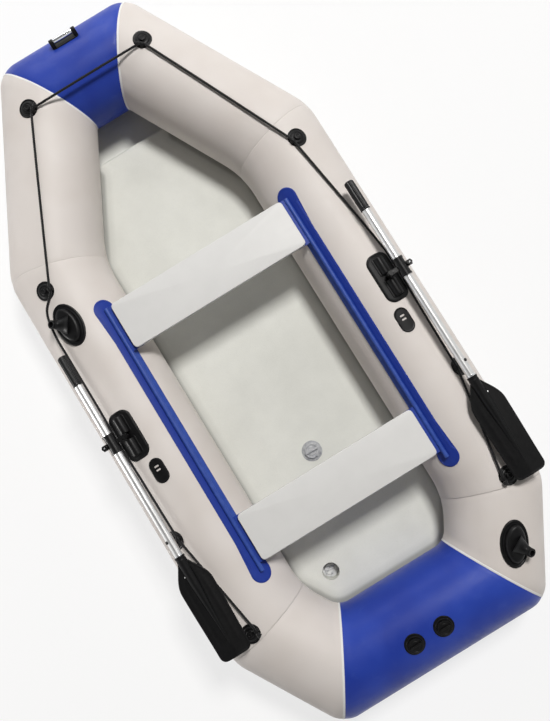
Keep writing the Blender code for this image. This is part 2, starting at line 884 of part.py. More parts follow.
def patch(outline, thickness, section, along, angle, raised=()):
    """A curved plate on a section's skin, cut to an outline drawn in the place's XY plane.

    The raised shapes are joined on before the underside is cut to the tube's curve.
    """
    frame = station(section, along, angle)
    reach = max(hypot(x, y) for x, y in outline)
    axis = section_frame(section) @ shift(x=along - reach - OVERRUN) @ turn(pi / 2, "Y") @ turn(FACET, "Z")
    length = 2 * (reach + OVERRUN)
    under = (TUBE_RADIUS + SEAT_GAP) / cos(FACET)
    over = (TUBE_RADIUS + SEAT_GAP + thickness) / cos(FACET)
    drop = TUBE_RADIUS
    blank = plate([outline], drop + thickness + OVERRUN, frame @ shift(z=-drop))
    common(blank, cylinder(over, length, axis, TUBE_SIDES))
    join(blank, *raised)
    return cut(blank, cylinder(under, length, axis, TUBE_SIDES))


# Valves in the stern tube


def hull_valve_places():
    """Distances along the stern tube of its two valves."""
    middle = section_length(STERN) / 2
    return middle - HULL_VALVE_SPACING / 2, middle + HULL_VALVE_SPACING / 2


def hull_valve_frames():
    """Places of the two stern valves on the skin."""
    return [station(STERN, along, HULL_VALVE_ANGLE) for along in hull_valve_places()]


def build_hull_valves():
    """The body and cap of each stern valve."""
    for side, along in zip(("starboard", "port"), hull_valve_places()):
        frame = station(STERN, along, HULL_VALVE_ANGLE)
        flange = patch(
            ellipse(HULL_VALVE_FLANGE, HULL_VALVE_FLANGE, FINE_SIDES),
            VALVE_FLANGE_THICKNESS,
            STERN,
            along,
            HULL_VALVE_ANGLE,
        )
        barrel = valve_barrel(
            HULL_VALVE_FLANGE,
            HULL_VALVE_BARREL,
            HULL_VALVE_THROAT,
            HULL_VALVE_LIFT,
            HULL_VALVE_DEPTH,
            frame,
        )
        cut(flange, centred_cylinder(HULL_VALVE_BARREL / 2 - MELD, OVERRUN, frame))
        finish(join(flange, barrel), side + "_stern_valve_body", black_rubber())
        cap_frame = frame @ shift(z=HULL_VALVE_LIFT + SEAT_GAP)
        cap = screw_cap(HULL_VALVE_CAP / 2, HULL_VALVE_THROAT / 2 - SEAT_GAP, cap_frame)
        finish(cap, side + "_stern_valve_cap", black_rubber())


# Seats and their rails


def rail_frame():
    """Middle of the starboard rail, X aft, Y outboard round the tube, Z off it."""
    return station(SIDE, RAIL_FRONT_FROM_SHOULDER + RAIL_LENGTH / 2, RAIL_ANGLE)


def bead_axis():
    """World point of the bead's axis at the rail's middle, and the same for both seats."""
    height = SEAT_GAP + RAIL_STRIP_THICKNESS + RAIL_CHANNEL / 2 - MELD
    return (rail_frame() @ shift(z=height)).translation


def level_frame(point):
    """At a point, with Z forward, X to starboard and Y down, for pieces that run along the boat."""
    return Matrix.Translation(point) @ turn(-pi / 2, "X")


def rail_outline(steps=16):
    """A strip whose two ends are wider discs."""
    radius = RAIL_END_DIAMETER / 2
    neck = asin(RAIL_STRIP_WIDTH / RAIL_END_DIAMETER)
    outline = []
    for side in (1, -1):
        for step in range(steps + 1):
            angle = (pi - neck) * (2 * step / steps - 1)
            outline.append((side * (RAIL_LENGTH / 2 + radius * cos(angle)), side * radius * sin(angle)))
    return outline


def rail():
    """A strip along the tube with round ends, and the bead channel on it, open inboard."""
    along = RAIL_FRONT_FROM_SHOULDER + RAIL_LENGTH / 2
    centre = level_frame(bead_axis())
    channel = centred_cylinder(RAIL_CHANNEL / 2, RAIL_LENGTH, centre)
    bore = centred_cylinder(RAIL_BEAD_BORE / 2, RAIL_LENGTH + OVERRUN, centre)
    mouth_place = centre @ shift(x=-RAIL_CHANNEL / 2)
    mouth = box((RAIL_CHANNEL, RAIL_MOUTH, RAIL_LENGTH + OVERRUN), mouth_place)
    root_height = (bead_axis() - rail_frame().translation).length
    root_place = rail_frame() @ shift(z=root_height / 2)
    root = box((RAIL_LENGTH - MELD, RAIL_CHANNEL / 2, root_height), root_place)
    raised = (channel, root)
    base = patch(rail_outline(), RAIL_STRIP_THICKNESS, SIDE, along, RAIL_ANGLE, raised)
    return cut(base, bore, mouth)


def seat_middles():
    """Y of the middle of the front and of the rear seat."""
    front_end = SHOULDER_Y - RAIL_FRONT_FROM_SHOULDER
    back_end = front_end - RAIL_LENGTH
    front = front_end - FRONT_SEAT_FROM_RAIL_FRONT - SEAT_WIDTH / 2
    rear = back_end + REAR_SEAT_FROM_RAIL_BACK + SEAT_WIDTH / 2
    return front, rear


def seat(name, middle):
    """A board with round corners, and a bead strip under each end that slides in the rail."""
    axis = bead_axis()
    flange_top = axis.z + BEAD_FLANGE_THICKNESS / 2
    board_bottom = flange_top + SEAT_GAP
    outline = rounded_rectangle(SEAT_LENGTH, SEAT_WIDTH, SEAT_CORNER_RADIUS)
    board = plate([outline], SEAT_THICKNESS, shift(y=middle, z=board_bottom))
    finish(soften(board, SEAT_EDGE_RADIUS), name + "_board", seat_board())
    bead_place = level_frame((axis.x, middle, axis.z))
    bead = centred_cylinder(BEAD_DIAMETER / 2, SEAT_WIDTH, bead_place, SMALL_SIDES)
    inboard = SEAT_LENGTH / 2 - BEAD_FLANGE_UNDER_SEAT
    width = axis.x - inboard
    place = shift(inboard + width / 2, middle, axis.z)
    strip = box((width, SEAT_WIDTH, BEAD_FLANGE_THICKNESS), place)
    strip = finish(join(bead, strip), name, rail_rubber())
    strip.name = name + "_starboard_bead"
    mirrored(strip, name + "_port_bead")


def build_rails_and_seats():
    """Two rails and two sliding seats."""
    both_sides(finish(rail(), "seat_rail", rail_rubber()), "seat_rail")
    front, rear = seat_middles()
    seat("front_seat", front)
    seat("rear_seat", rear)


# Oarlocks


def oarlock_frame(height=0):
    """Middle of the starboard oarlock pad, X aft, Y outboard round the tube, Z off it."""
    return station(SIDE, OARLOCK_FROM_SHOULDER, OARLOCK_ANGLE, height)


def pivot():
    """World point where the swivel's two axes cross."""
    return oarlock_frame(RIDGE_AXIS_HEIGHT).translation


def oarlock_pad():
    """A curved pad with two ridges in line, which hold the trunnion at their bore."""
    outline = rounded_rectangle(OARLOCK_PAD_LENGTH, OARLOCK_PAD_WIDTH, OARLOCK_PAD_RADIUS)
    ridges = []
    axis = oarlock_frame(RIDGE_AXIS_HEIGHT)
    length = (RIDGE_LENGTH - RIDGE_GAP) / 2
    web_size = (length - MELD, RIDGE_WIDTH - MELD, RIDGE_AXIS_HEIGHT)
    for side in (-1, 1):
        middle = side * (RIDGE_GAP + length) / 2
        barrel = centred_cylinder(RIDGE_WIDTH / 2, length, axis @ shift(x=middle) @ turn(pi / 2, "Y"))
        web = box(web_size, axis @ shift(middle, 0, -RIDGE_AXIS_HEIGHT / 2))
        ridges += [barrel, web]
    pad = patch(outline, OARLOCK_PAD_THICKNESS, SIDE, OARLOCK_FROM_SHOULDER, OARLOCK_ANGLE, ridges)
    bore = centred_cylinder(
        TRUNNION_DIAMETER / 2 + SEAT_GAP, TRUNNION_LENGTH + 2 * SEAT_GAP, axis @ turn(pi / 2, "Y"), PIN_SIDES
    )
    return cut(pad, bore)


def swivel():
    """Hub in the gap between the ridges, its trunnion along the boat and its upright pin."""
    centre = level_frame(pivot())
    hub_length = RIDGE_GAP - 2 * SWIVEL_SIDE_PLAY
    hub = centred_cylinder(HUB_DIAMETER / 2, hub_length, centre)
    trunnion = centred_cylinder(TRUNNION_DIAMETER / 2, TRUNNION_LENGTH, centre, PIN_SIDES)
    eye_bottom = OAR_LIFT - CLAMP_EYE_HEIGHT / 2 - PIN_PLAY
    top = OAR_LIFT + CLAMP_EYE_HEIGHT / 2 + PIN_PLAY
    upright = Matrix.Translation(pivot())
    collar = cylinder(CLAMP_EYE_DIAMETER / 2, eye_bottom, upright, ROUND_SIDES)
    pin = cylinder(PIN_DIAMETER / 2, top + PIN_HEAD_HEIGHT / 2, upright, PIN_SIDES)
    head = cylinder(PIN_HEAD_DIAMETER / 2, PIN_HEAD_HEIGHT, upright @ shift(z=top), PIN_SIDES)
    return join(hub, trunnion, collar, pin, head)


def clamp_frame():
    """On the oar's axis at the clamp, Z forward, X outboard and Y down."""
    point = pivot() + Vector((OAR_OFFSET, 0, OAR_LIFT))
    return level_frame(point)


def upright_at(x=0, y=0, z=0):
    """A place given from the oar's axis at the clamp, with Z up."""
    return Matrix.Translation(clamp_frame().translation + Vector((x, y, z)))


def clamp():
    """Eye on the pin, arm, and split ring with two lugs for the thumb screw."""
    centre = clamp_frame()
    radius = CLAMP_DIAMETER / 2
    ring = centred_cylinder(radius, CLAMP_LENGTH, centre, FINE_SIDES)
    rim_middle = (CLAMP_LENGTH - CLAMP_RIM_LENGTH) / 2
    for side in (-1, 1):
        place = centre @ shift(z=side * rim_middle)
        join(ring, centred_cylinder(radius + CLAMP_RIM, CLAMP_RIM_LENGTH, place, FINE_SIDES))
    eye = centred_cylinder(CLAMP_EYE_DIAMETER / 2, CLAMP_EYE_HEIGHT, upright_at(x=-OAR_OFFSET))
    arm = box((OAR_OFFSET, CLAMP_ARM_WIDTH, CLAMP_ARM_HEIGHT), upright_at(x=-OAR_OFFSET / 2))
    lug_height = 2 * CLAMP_LUG_THICKNESS + CLAMP_SLIT
    lug_length = radius + CLAMP_LUG_REACH
    lug = box((lug_length, CLAMP_LUG_LENGTH, lug_height), upright_at(x=lug_length / 2))
    join(ring, eye, arm, lug)
    bore = centred_cylinder(SHAFT_BORE / 2, CLAMP_LENGTH + OVERRUN, centre, FINE_SIDES)
    pin_hole = centred_cylinder(
        PIN_DIAMETER / 2 + PIN_PLAY, CLAMP_EYE_HEIGHT + OVERRUN, upright_at(x=-OAR_OFFSET), PIN_SIDES
    )
    slit_length = lug_length + OVERRUN
    slit_size = (slit_length, CLAMP_LENGTH + OVERRUN, CLAMP_SLIT)
    slit = box(slit_size, upright_at(x=slit_length / 2))
    screw_hole = centred_cylinder(
        SCREW_DIAMETER / 2 + SEAT_GAP, lug_height + OVERRUN, upright_at(x=radius + SCREW_OFFSET), SMALL_SIDES
    )
    return cut(ring, bore, pin_hole, slit, screw_hole)


def clamp_screw():
    """Thumb screw with a lobed head, its shank through both lugs and its nut below."""
    frame = upright_at(x=CLAMP_DIAMETER / 2 + SCREW_OFFSET)
    top = CLAMP_SLIT / 2 + CLAMP_LUG_THICKNESS + SEAT_GAP
    outline = lobed(SCREW_HEAD_DIAMETER / 2, SCREW_LOBES, SCREW_LOBE_DEPTH, 3)
    head = plate([outline], SCREW_HEAD_HEIGHT, frame @ shift(z=top))
    length = 2 * (top + SCREW_NUT_HEIGHT / 2)
    shank = centred_cylinder(SCREW_DIAMETER / 2, length, frame, SMALL_SIDES)
    nut = cylinder(SCREW_NUT_DIAMETER / 2, SCREW_NUT_HEIGHT, frame @ shift(z=-top - SCREW_NUT_HEIGHT), 6)
    return join(head, shank, nut)


def build_oarlocks():
    """Pad, swivel, clamp and thumb screw on each side."""
    both_sides(finish(oarlock_pad(), "oarlock_pad", black_rubber()), "oarlock_pad")
    both_sides(finish(swivel(), "oarlock_swivel", black_plastic()), "oarlock_swivel")
    both_sides(finish(clamp(), "oar_clamp", black_plastic()), "oar_clamp")
    both_sides(finish(clamp_screw(), "clamp_screw", black_plastic()), "clamp_screw")


# Oars


def button_frame():
    """On the shaft's axis at the snap button, Z out through the shaft, up and outboard."""
    along = BUTTON_FROM_NECK - NECK_FROM_CLAMP
    return Matrix.Translation(clamp_frame() @ Vector((0, 0, along))) @ turn(BUTTON_ANGLE, "Y")


def oar_shaft():
    """Aluminium tube from inside the grip to inside the blade's socket."""
    outer = SHAFT_DIAMETER / 2
    inner = outer - SHAFT_WALL
    profile = [(outer, SHAFT_FRONT), (outer, SHAFT_BACK), (inner, SHAFT_BACK), (inner, SHAFT_FRONT)]
    shaft = turned(profile, clamp_frame(), FINE_SIDES, closed=True)
    return cut(shaft, cylinder(BUTTON_DIAMETER / 2 + SEAT_GAP, SHAFT_DIAMETER, button_frame(), PIN_SIDES))


def oar_grip():
    """Ribbed handle with a domed end and a blind bore for the shaft."""
    outline = lobed(GRIP_DIAMETER / 2, GRIP_RIBS, GRIP_RIB_DEPTH)
    body = GRIP_LENGTH - GRIP_END_RADIUS
    grip = plate([outline], body, clamp_frame() @ shift(z=GRIP_FROM_CLAMP))
    reach = GRIP_DIAMETER / 2 - GRIP_RIB_DEPTH / 2
    angles = [pi / 2 * (1 - step / DOME_STEPS) for step in range(DOME_STEPS + 1)]
    flat = reach - GRIP_END_RADIUS
    dome = [(0, GRIP_END)]
    dome += [(flat + GRIP_END_RADIUS * cos(a), GRIP_END - GRIP_END_RADIUS * (1 - sin(a))) for a in angles]
    dome += [(reach, GRIP_END - 2 * GRIP_END_RADIUS), (0, GRIP_END - 2 * GRIP_END_RADIUS)]
    join(grip, turned(dome, clamp_frame(), ROUND_SIDES))
    depth = SHAFT_GRIP_OVERLAP + SEAT_GAP + OVERRUN
    bore = cylinder(SHAFT_BORE / 2, depth, clamp_frame() @ shift(z=GRIP_FROM_CLAMP - OVERRUN), FINE_SIDES)
    return cut(grip, bore)


def blade_outline(steps=6):
    """Outline of the web from its root, out to the full width, round the tip and back."""
    root = BLADE_ROOT_WIDTH / 2
    side = []
    for step in range(steps + 1):
        share = step / steps
        spread = sin(share * pi / 2) ** BLADE_SHOULDER_CURVE
        side.append((root + (BLADE_WIDTH / 2 - root) * spread, -BLADE_SHOULDER * share))
    centre_x = BLADE_TIP_WIDTH / 2 - BLADE_TIP_RADIUS
    centre_y = BLADE_TIP_RADIUS - BLADE_LENGTH
    for step in range(CORNER_STEPS + 1):
        angle = pi / 2 * step / CORNER_STEPS
        side.append((centre_x + BLADE_TIP_RADIUS * cos(angle), centre_y - BLADE_TIP_RADIUS * sin(angle)))
    return side + [(-x, y) for x, y in reversed(side)]


def blade_plate(frame):
    """The thin V-shaped web of the blade, from its outline."""
    web = plate([blade_outline()], BLADE_THICKNESS, shift(z=-BLADE_THICKNESS / 2))
    work = bmesh.new()
    work.from_mesh(web.data)
    work.transform(web.matrix_world)
    everything = work.verts[:] + work.edges[:] + work.faces[:]
    bmesh.ops.bisect_plane(work, geom=everything, plane_co=(0, 0, 0), plane_no=(1, 0, 0), dist=WELD)
    for vertex in work.verts:
        vertex.co.z -= abs(vertex.co.x) * tan(BLADE_VEE)
    bpy.data.objects.remove(web)
    return from_bmesh(work, frame)


def oar_blade():
    """Socket that tapers into a spine down a thin V-shaped web."""
    neck = clamp_frame() @ shift(z=-NECK_FROM_CLAMP)
    radius = SOCKET_DIAMETER / 2
    end = -BLADE_LENGTH * SPINE_END_SHARE
    profile = [
        (0, 0),
        (radius, 0),
        (radius, -SOCKET_LENGTH),
        (SPINE_TIP_DIAMETER / 2, end),
        (0, end),
    ]
    spine = turned(profile, neck, FINE_SIDES)
    web = blade_plate(neck @ turn(pi / 2, "X"))
    bore_depth = SHAFT_BLADE_OVERLAP + SEAT_GAP + OVERRUN
    bore = cylinder(SHAFT_BORE / 2, bore_depth, neck @ shift(z=OVERRUN - bore_depth), FINE_SIDES)
    return cut(join(spine, web), bore)


def snap_button():
    """Button that locks the shaft's joint, with a flange that keeps it inside the tube."""
    inside = SHAFT_DIAMETER / 2 - SHAFT_WALL
    seat_height = sqrt(inside**2 - (BUTTON_FLANGE_DIAMETER / 2) ** 2) - SEAT_GAP
    top = SHAFT_DIAMETER / 2 + BUTTON_PROUD
    radius = BUTTON_DIAMETER / 2
    flange = BUTTON_FLANGE_DIAMETER / 2
    foot = seat_height - BUTTON_FLANGE_THICKNESS
    crown = [(0, top)]
    for step in range(1, DOME_STEPS + 1):
        angle = pi / 2 * step / DOME_STEPS
        crown.append((radius * sin(angle), top - BUTTON_PROUD / 2 * (1 - cos(angle))))
    profile = crown + [(radius, seat_height), (flange, seat_height), (flange, foot), (0, foot)]
    return turned(profile, button_frame(), PIN_SIDES)


def build_oars():
    """Shaft, grip, blade and snap button of each oar."""
    both_sides(finish(oar_shaft(), "oar_shaft", aluminium()), "oar_shaft")
    both_sides(finish(oar_grip(), "oar_grip", black_plastic()), "oar_grip")
    both_sides(finish(oar_blade(), "oar_blade", black_plastic()), "oar_blade")
    both_sides(finish(snap_button(), "snap_button", black_plastic()), "snap_button")


# Eyelets and other fittings


def eyelet_frame(name):
    """Middle of a starboard eyelet, X along the rope, Y outboard and Z off the tube."""
    section, along, angle, yaw = EYELET_PLACES[name]
    return station(section, along, angle, 0, yaw)


def eye_frame(name):
    """Middle of a starboard eyelet's hole, with Z along the rope."""
    return eyelet_frame(name) @ shift(y=-EYE_OFFSET, z=EYE_HEIGHT) @ turn(pi / 2, "Y")


def eyelet(name):
    """Domed rubber flange with a knob and, at its inboard edge, the eye for the rope."""
    section, along, angle, _ = EYELET_PLACES[name]
    frame = eyelet_frame(name)
    dome = cylinder(
        EYELET_DOME_DIAMETER / 2,
        EYELET_DOME_HEIGHT,
        frame @ shift(z=EYELET_THICKNESS / 2),
        SMALL_SIDES,
        EYELET_KNOB_DIAMETER / 2,
    )
    knob = cylinder(
        EYELET_KNOB_DIAMETER / 2, EYELET_KNOB_HEIGHT, frame @ shift(z=EYELET_THICKNESS / 2), SMALL_SIDES
    )
    barrel = centred_cylinder(EYE_DIAMETER / 2, EYE_LENGTH, eye_frame(name), SMALL_SIDES)
    foot_height = EYE_HEIGHT + EYELET_THICKNESS
    foot_place = frame @ shift(y=-EYE_OFFSET, z=EYE_HEIGHT - foot_height / 2)
    foot = box((EYE_LENGTH - MELD, EYE_DIAMETER - MELD, foot_height), foot_place)
    outline = ellipse(EYELET_DIAMETER, EYELET_DIAMETER)
    rim = patch(outline, EYELET_THICKNESS, section, along, angle, (dome, knob, barrel, foot))
    hole = ROPE_DIAMETER / 2 + EYE_ROPE_PLAY
    return cut(rim, centred_cylinder(hole, EYE_DIAMETER, eye_frame(name), SMALL_SIDES))


def horn_fitting(section, along, angle, toward_bow):
    """Oval pad with a hump, from which an open horn rises outboard."""
    frame = station(section, along, angle)
    pad_outline = ellipse(HORN_PAD_LENGTH, HORN_PAD_WIDTH, FINE_SIDES)
    hump_outline = ellipse(HORN_HUMP_LENGTH, HORN_HUMP_WIDTH)
    hump = plate([hump_outline], 2 * HORN_HUMP_HEIGHT, frame @ shift(z=-HORN_HUMP_HEIGHT))
    soften(hump, HORN_HUMP_HEIGHT / 2, 2, 60)
    tip = Vector((toward_bow * HORN_LEAN, HORN_REACH, HORN_HEIGHT))
    root = Vector((0, 0, HORN_HUMP_HEIGHT / 4))
    axis = (tip - root).normalized()
    lean = axis.to_track_quat("Z", "Y").to_matrix().to_4x4()
    length = (tip - root).length
    root_place = frame @ Matrix.Translation(root) @ lean
    horn = cylinder(HORN_ROOT_DIAMETER / 2, length, root_place, ROUND_SIDES, HORN_TIP_DIAMETER / 2)
    drill_place = root_place @ shift(z=length - HORN_BORE_DEPTH)
    drill = cylinder(HORN_BORE / 2, HORN_BORE_DEPTH + OVERRUN, drill_place)
    pad = patch(pad_outline, HORN_PAD_THICKNESS, section, along, angle, (hump, horn))
    return cut(pad, drill)


def slot_pad():
    """Small oval pad with two cross slots for a strap."""
    along = OARLOCK_FROM_SHOULDER + SLOT_PAD_AFT_OF_OARLOCK
    outline = rounded_rectangle(SLOT_PAD_LENGTH, SLOT_PAD_WIDTH, SLOT_PAD_WIDTH / 2 - MELD, 6)
    pad = patch(outline, SLOT_PAD_THICKNESS, SIDE, along, SLOT_PAD_ANGLE)
    frame = station(SIDE, along, SLOT_PAD_ANGLE)
    for side in (-1, 1):
        place = frame @ shift(x=side * SLOT_SPACING / 2 - SLOTS_FORWARD)
        cut(pad, box((SLOT_WIDTH, SLOT_LENGTH, OVERRUN), place))
    return pad


def bow_handle_base():
    """Curved strip on the outer bow with an ear at each end."""
    middle = section_length(BOW) / 2
    frame = station(BOW, middle, HANDLE_ANGLE)
    outline = rounded_rectangle(HANDLE_LENGTH, HANDLE_BASE_WIDTH, HANDLE_BASE_WIDTH / 3)
    ears = []
    ear_middle = (HANDLE_LENGTH - HANDLE_EAR_LENGTH) / 2
    foot_height = HANDLE_HEIGHT
    for side in (-1, 1):
        place = frame @ shift(x=side * ear_middle, z=HANDLE_HEIGHT)
        lying = place @ turn(pi / 2, "Y")
        barrel = centred_cylinder(HANDLE_EAR_WIDTH / 2, HANDLE_EAR_LENGTH, lying)
        foot_size = (HANDLE_EAR_LENGTH - MELD, HANDLE_EAR_WIDTH - MELD, foot_height)
        ears += [barrel, box(foot_size, place @ shift(z=-foot_height / 2))]
    base = patch(outline, HANDLE_BASE_THICKNESS, BOW, middle, HANDLE_ANGLE, ears)
    bore_length = handle_grip_length() + 2 * (HANDLE_PIN_LENGTH + SEAT_GAP)
    axis = frame @ shift(z=HANDLE_HEIGHT) @ turn(pi / 2, "Y")
    return cut(base, centred_cylinder(HANDLE_PIN_DIAMETER / 2 + SEAT_GAP, bore_length, axis, PIN_SIDES))


def handle_grip_length():
    """Length of the grip between the ears."""
    return HANDLE_LENGTH - 2 * HANDLE_EAR_LENGTH - 2 * SEAT_GAP


def bow_handle_grip():
    """Grip that swells towards its middle, with a pin at each end."""
    frame = station(BOW, section_length(BOW) / 2, HANDLE_ANGLE, HANDLE_HEIGHT) @ turn(pi / 2, "Y")
    half = handle_grip_length() / 2
    radius = HANDLE_GRIP_DIAMETER / 2
    pin = HANDLE_PIN_DIAMETER / 2
    steps = 6
    profile = [(0, half + HANDLE_PIN_LENGTH), (pin, half + HANDLE_PIN_LENGTH), (pin, half)]
    for step in range(steps + 1):
        share = 1 - 2 * step / steps
        profile.append((radius - HANDLE_GRIP_SWELL * share**2, half * share))
    profile += [(pin, -half), (pin, -half - HANDLE_PIN_LENGTH), (0, -half - HANDLE_PIN_LENGTH)]
    return turned(profile, frame, SMALL_SIDES)


def build_fittings():
    """Eyelets, horn fittings, slotted pads and the bow handle."""
    for name in EYELET_PLACES:
        both_sides(finish(eyelet(name), name, black_rubber()), name)
    quarter = section_length(QUARTER) * QUARTER_HORN_SHARE
    horn = horn_fitting(QUARTER, quarter, QUARTER_HORN_ANGLE, 1)
    finish(horn, "starboard_quarter_horn_fitting", black_rubber())
    model = horn_fitting(SIDE, BOW_SIDE_HORN_FROM_SHOULDER, BOW_SIDE_HORN_ANGLE, -1)
    mirrored(finish(model, "model_of_horn_fitting", black_rubber()), "port_bow_horn_fitting")
    remove_with_helpers(model)
    both_sides(finish(slot_pad(), "slotted_pad", black_rubber()), "slotted_pad")
    finish(bow_handle_base(), "bow_handle_base", black_rubber())
    finish(bow_handle_grip(), "bow_handle_grip", steel())


def remove_with_helpers(obj):
    """Takes away an object and the helpers that its Booleans used."""
    for child in list(obj.children):
        remove_with_helpers(child)
    bpy.data.objects.remove(obj)


# Grab line


def eye_passage(name):
    """The rope's points at a starboard eye, from its forward side to its after side."""
    frame = eye_frame(name)
    return [frame @ Vector((0, 0, side * EYE_PASSAGE_LENGTH / 2)) for side in (-1, 0, 1)]


def rope_beside(along, places):
    """Points on the starboard side tube's skin, at distances from a place along it."""
    return [station(SIDE, along + offset, angle, height).translation for offset, angle, height in places]


def rope_side(port):
    """Waypoints of one half of the line, from the bow eyelet aft, drawn to starboard."""
    points = eye_passage("bow_eyelet") + eye_passage("shoulder_eyelet")
    if port:
        points += rope_beside(BOW_SIDE_HORN_FROM_SHOULDER, ROPE_BY_HORN)
    points += rope_beside(OARLOCK_FROM_SHOULDER, ROPE_BY_OARLOCK)
    return points + eye_passage("aft_eyelet") + eye_passage("stern_eyelet")


def rope_points():
    """Points of the whole line, read from a smooth curve through its waypoints."""
    port = [FLIP @ point for point in rope_side(port=True)]
    return smooth_path(port[::-1] + rope_side(port=False), ROPE_POINT_SPACING)


def smooth_path(waypoints, spacing):
    """A Catmull-Rom curve through the waypoints, with a point about every spacing."""
    ends = [2 * waypoints[0] - waypoints[1]], [2 * waypoints[-1] - waypoints[-2]]
    row = ends[0] + waypoints + ends[1]
    path = []
    for before, start, end, after in zip(row, row[1:], row[2:], row[3:]):
        length = (end - start).length
        first = (end - before) * (length / ((end - start).length + (start - before).length))
        last = (after - start) * (length / ((after - end).length + (end - start).length))
        count = max(1, ceil(length / spacing))
        for step in range(count):
            t = step / count
            path.append(
                start * (2 * t**3 - 3 * t**2 + 1)
                + first * (t**3 - 2 * t**2 + t)
                + end * (3 * t**2 - 2 * t**3)
                + last * (t**3 - t**2)
            )
    return path + [waypoints[-1]]


def build_grab_line():
    """The black line through all eight eyelets."""
    points = rope_points()
    curve = bpy.data.curves.new("grab_line", "CURVE")
    curve.dimensions = "3D"
    curve.bevel_depth = ROPE_DIAMETER / 2
    curve.bevel_resolution = 2
    curve.use_fill_caps = True
    spline = curve.splines.new("POLY")
    spline.points.add(len(points) - 1)
    for place, point in zip(spline.points, points):
        place.co = (*point, 1)
    finish(curve_solid(curve, Matrix()), "grab_line", rope_yarn())
    length = sum((second - first).length for first, second in zip(points, points[1:]))
    print(f"Grab line: {len(points)} points, {length:.3f} m long")


if __name__ == "__main__":
    main()
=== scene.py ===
"""Looks of an inflatable rowing boat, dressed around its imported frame.

Lengths are in metres. +Y points to the bow, +X to starboard and +Z up. Most pieces are surfaces
worked out with numpy: a grid of points from two parameters, or a profile carried along a path.
"""

import json
import logging
import math
from dataclasses import dataclass, replace
from enum import Enum, IntEnum
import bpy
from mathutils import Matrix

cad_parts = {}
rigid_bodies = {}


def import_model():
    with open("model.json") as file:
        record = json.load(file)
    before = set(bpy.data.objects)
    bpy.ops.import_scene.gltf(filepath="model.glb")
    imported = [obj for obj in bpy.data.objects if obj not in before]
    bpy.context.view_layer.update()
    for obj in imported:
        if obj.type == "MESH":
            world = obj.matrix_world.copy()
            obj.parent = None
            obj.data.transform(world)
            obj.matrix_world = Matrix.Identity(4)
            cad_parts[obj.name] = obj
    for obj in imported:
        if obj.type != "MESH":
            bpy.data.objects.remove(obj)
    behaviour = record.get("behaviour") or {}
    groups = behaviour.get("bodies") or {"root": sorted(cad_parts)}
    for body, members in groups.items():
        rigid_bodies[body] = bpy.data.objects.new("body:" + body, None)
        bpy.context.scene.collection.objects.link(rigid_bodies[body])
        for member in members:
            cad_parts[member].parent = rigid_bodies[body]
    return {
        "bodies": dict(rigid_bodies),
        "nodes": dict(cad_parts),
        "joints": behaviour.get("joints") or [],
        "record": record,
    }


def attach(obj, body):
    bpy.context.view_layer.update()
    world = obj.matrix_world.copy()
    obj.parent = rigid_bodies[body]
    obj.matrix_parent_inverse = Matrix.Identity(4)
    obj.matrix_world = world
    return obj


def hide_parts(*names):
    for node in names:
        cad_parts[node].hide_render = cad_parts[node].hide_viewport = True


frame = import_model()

from types import SimpleNamespace
from typing import Any, Callable, Optional, Sequence

import bmesh
import bpy
import numpy as np
from mathutils import Matrix

Array = np.ndarray
Relief = Callable[[Array, Array], Array]
log = logging.getLogger("boat")

MM = 0.001
FULL_TURN = 2 * math.pi
QUARTER_TURN = math.pi / 2
CREASE = math.radians(38)  # edges sharper than this are shaded sharp
SIDES = {"starboard": 1, "port": -1}
RIM_DISTANCE = "rim_distance"  # the deck's attribute that its painted shade along the tubes follows
HORN_ALONG = 0.231  # the port horn's distance from the shoulder
OARLOCK_ALONG = 0.674  # an oarlock's distance from the shoulder


# Grids of points


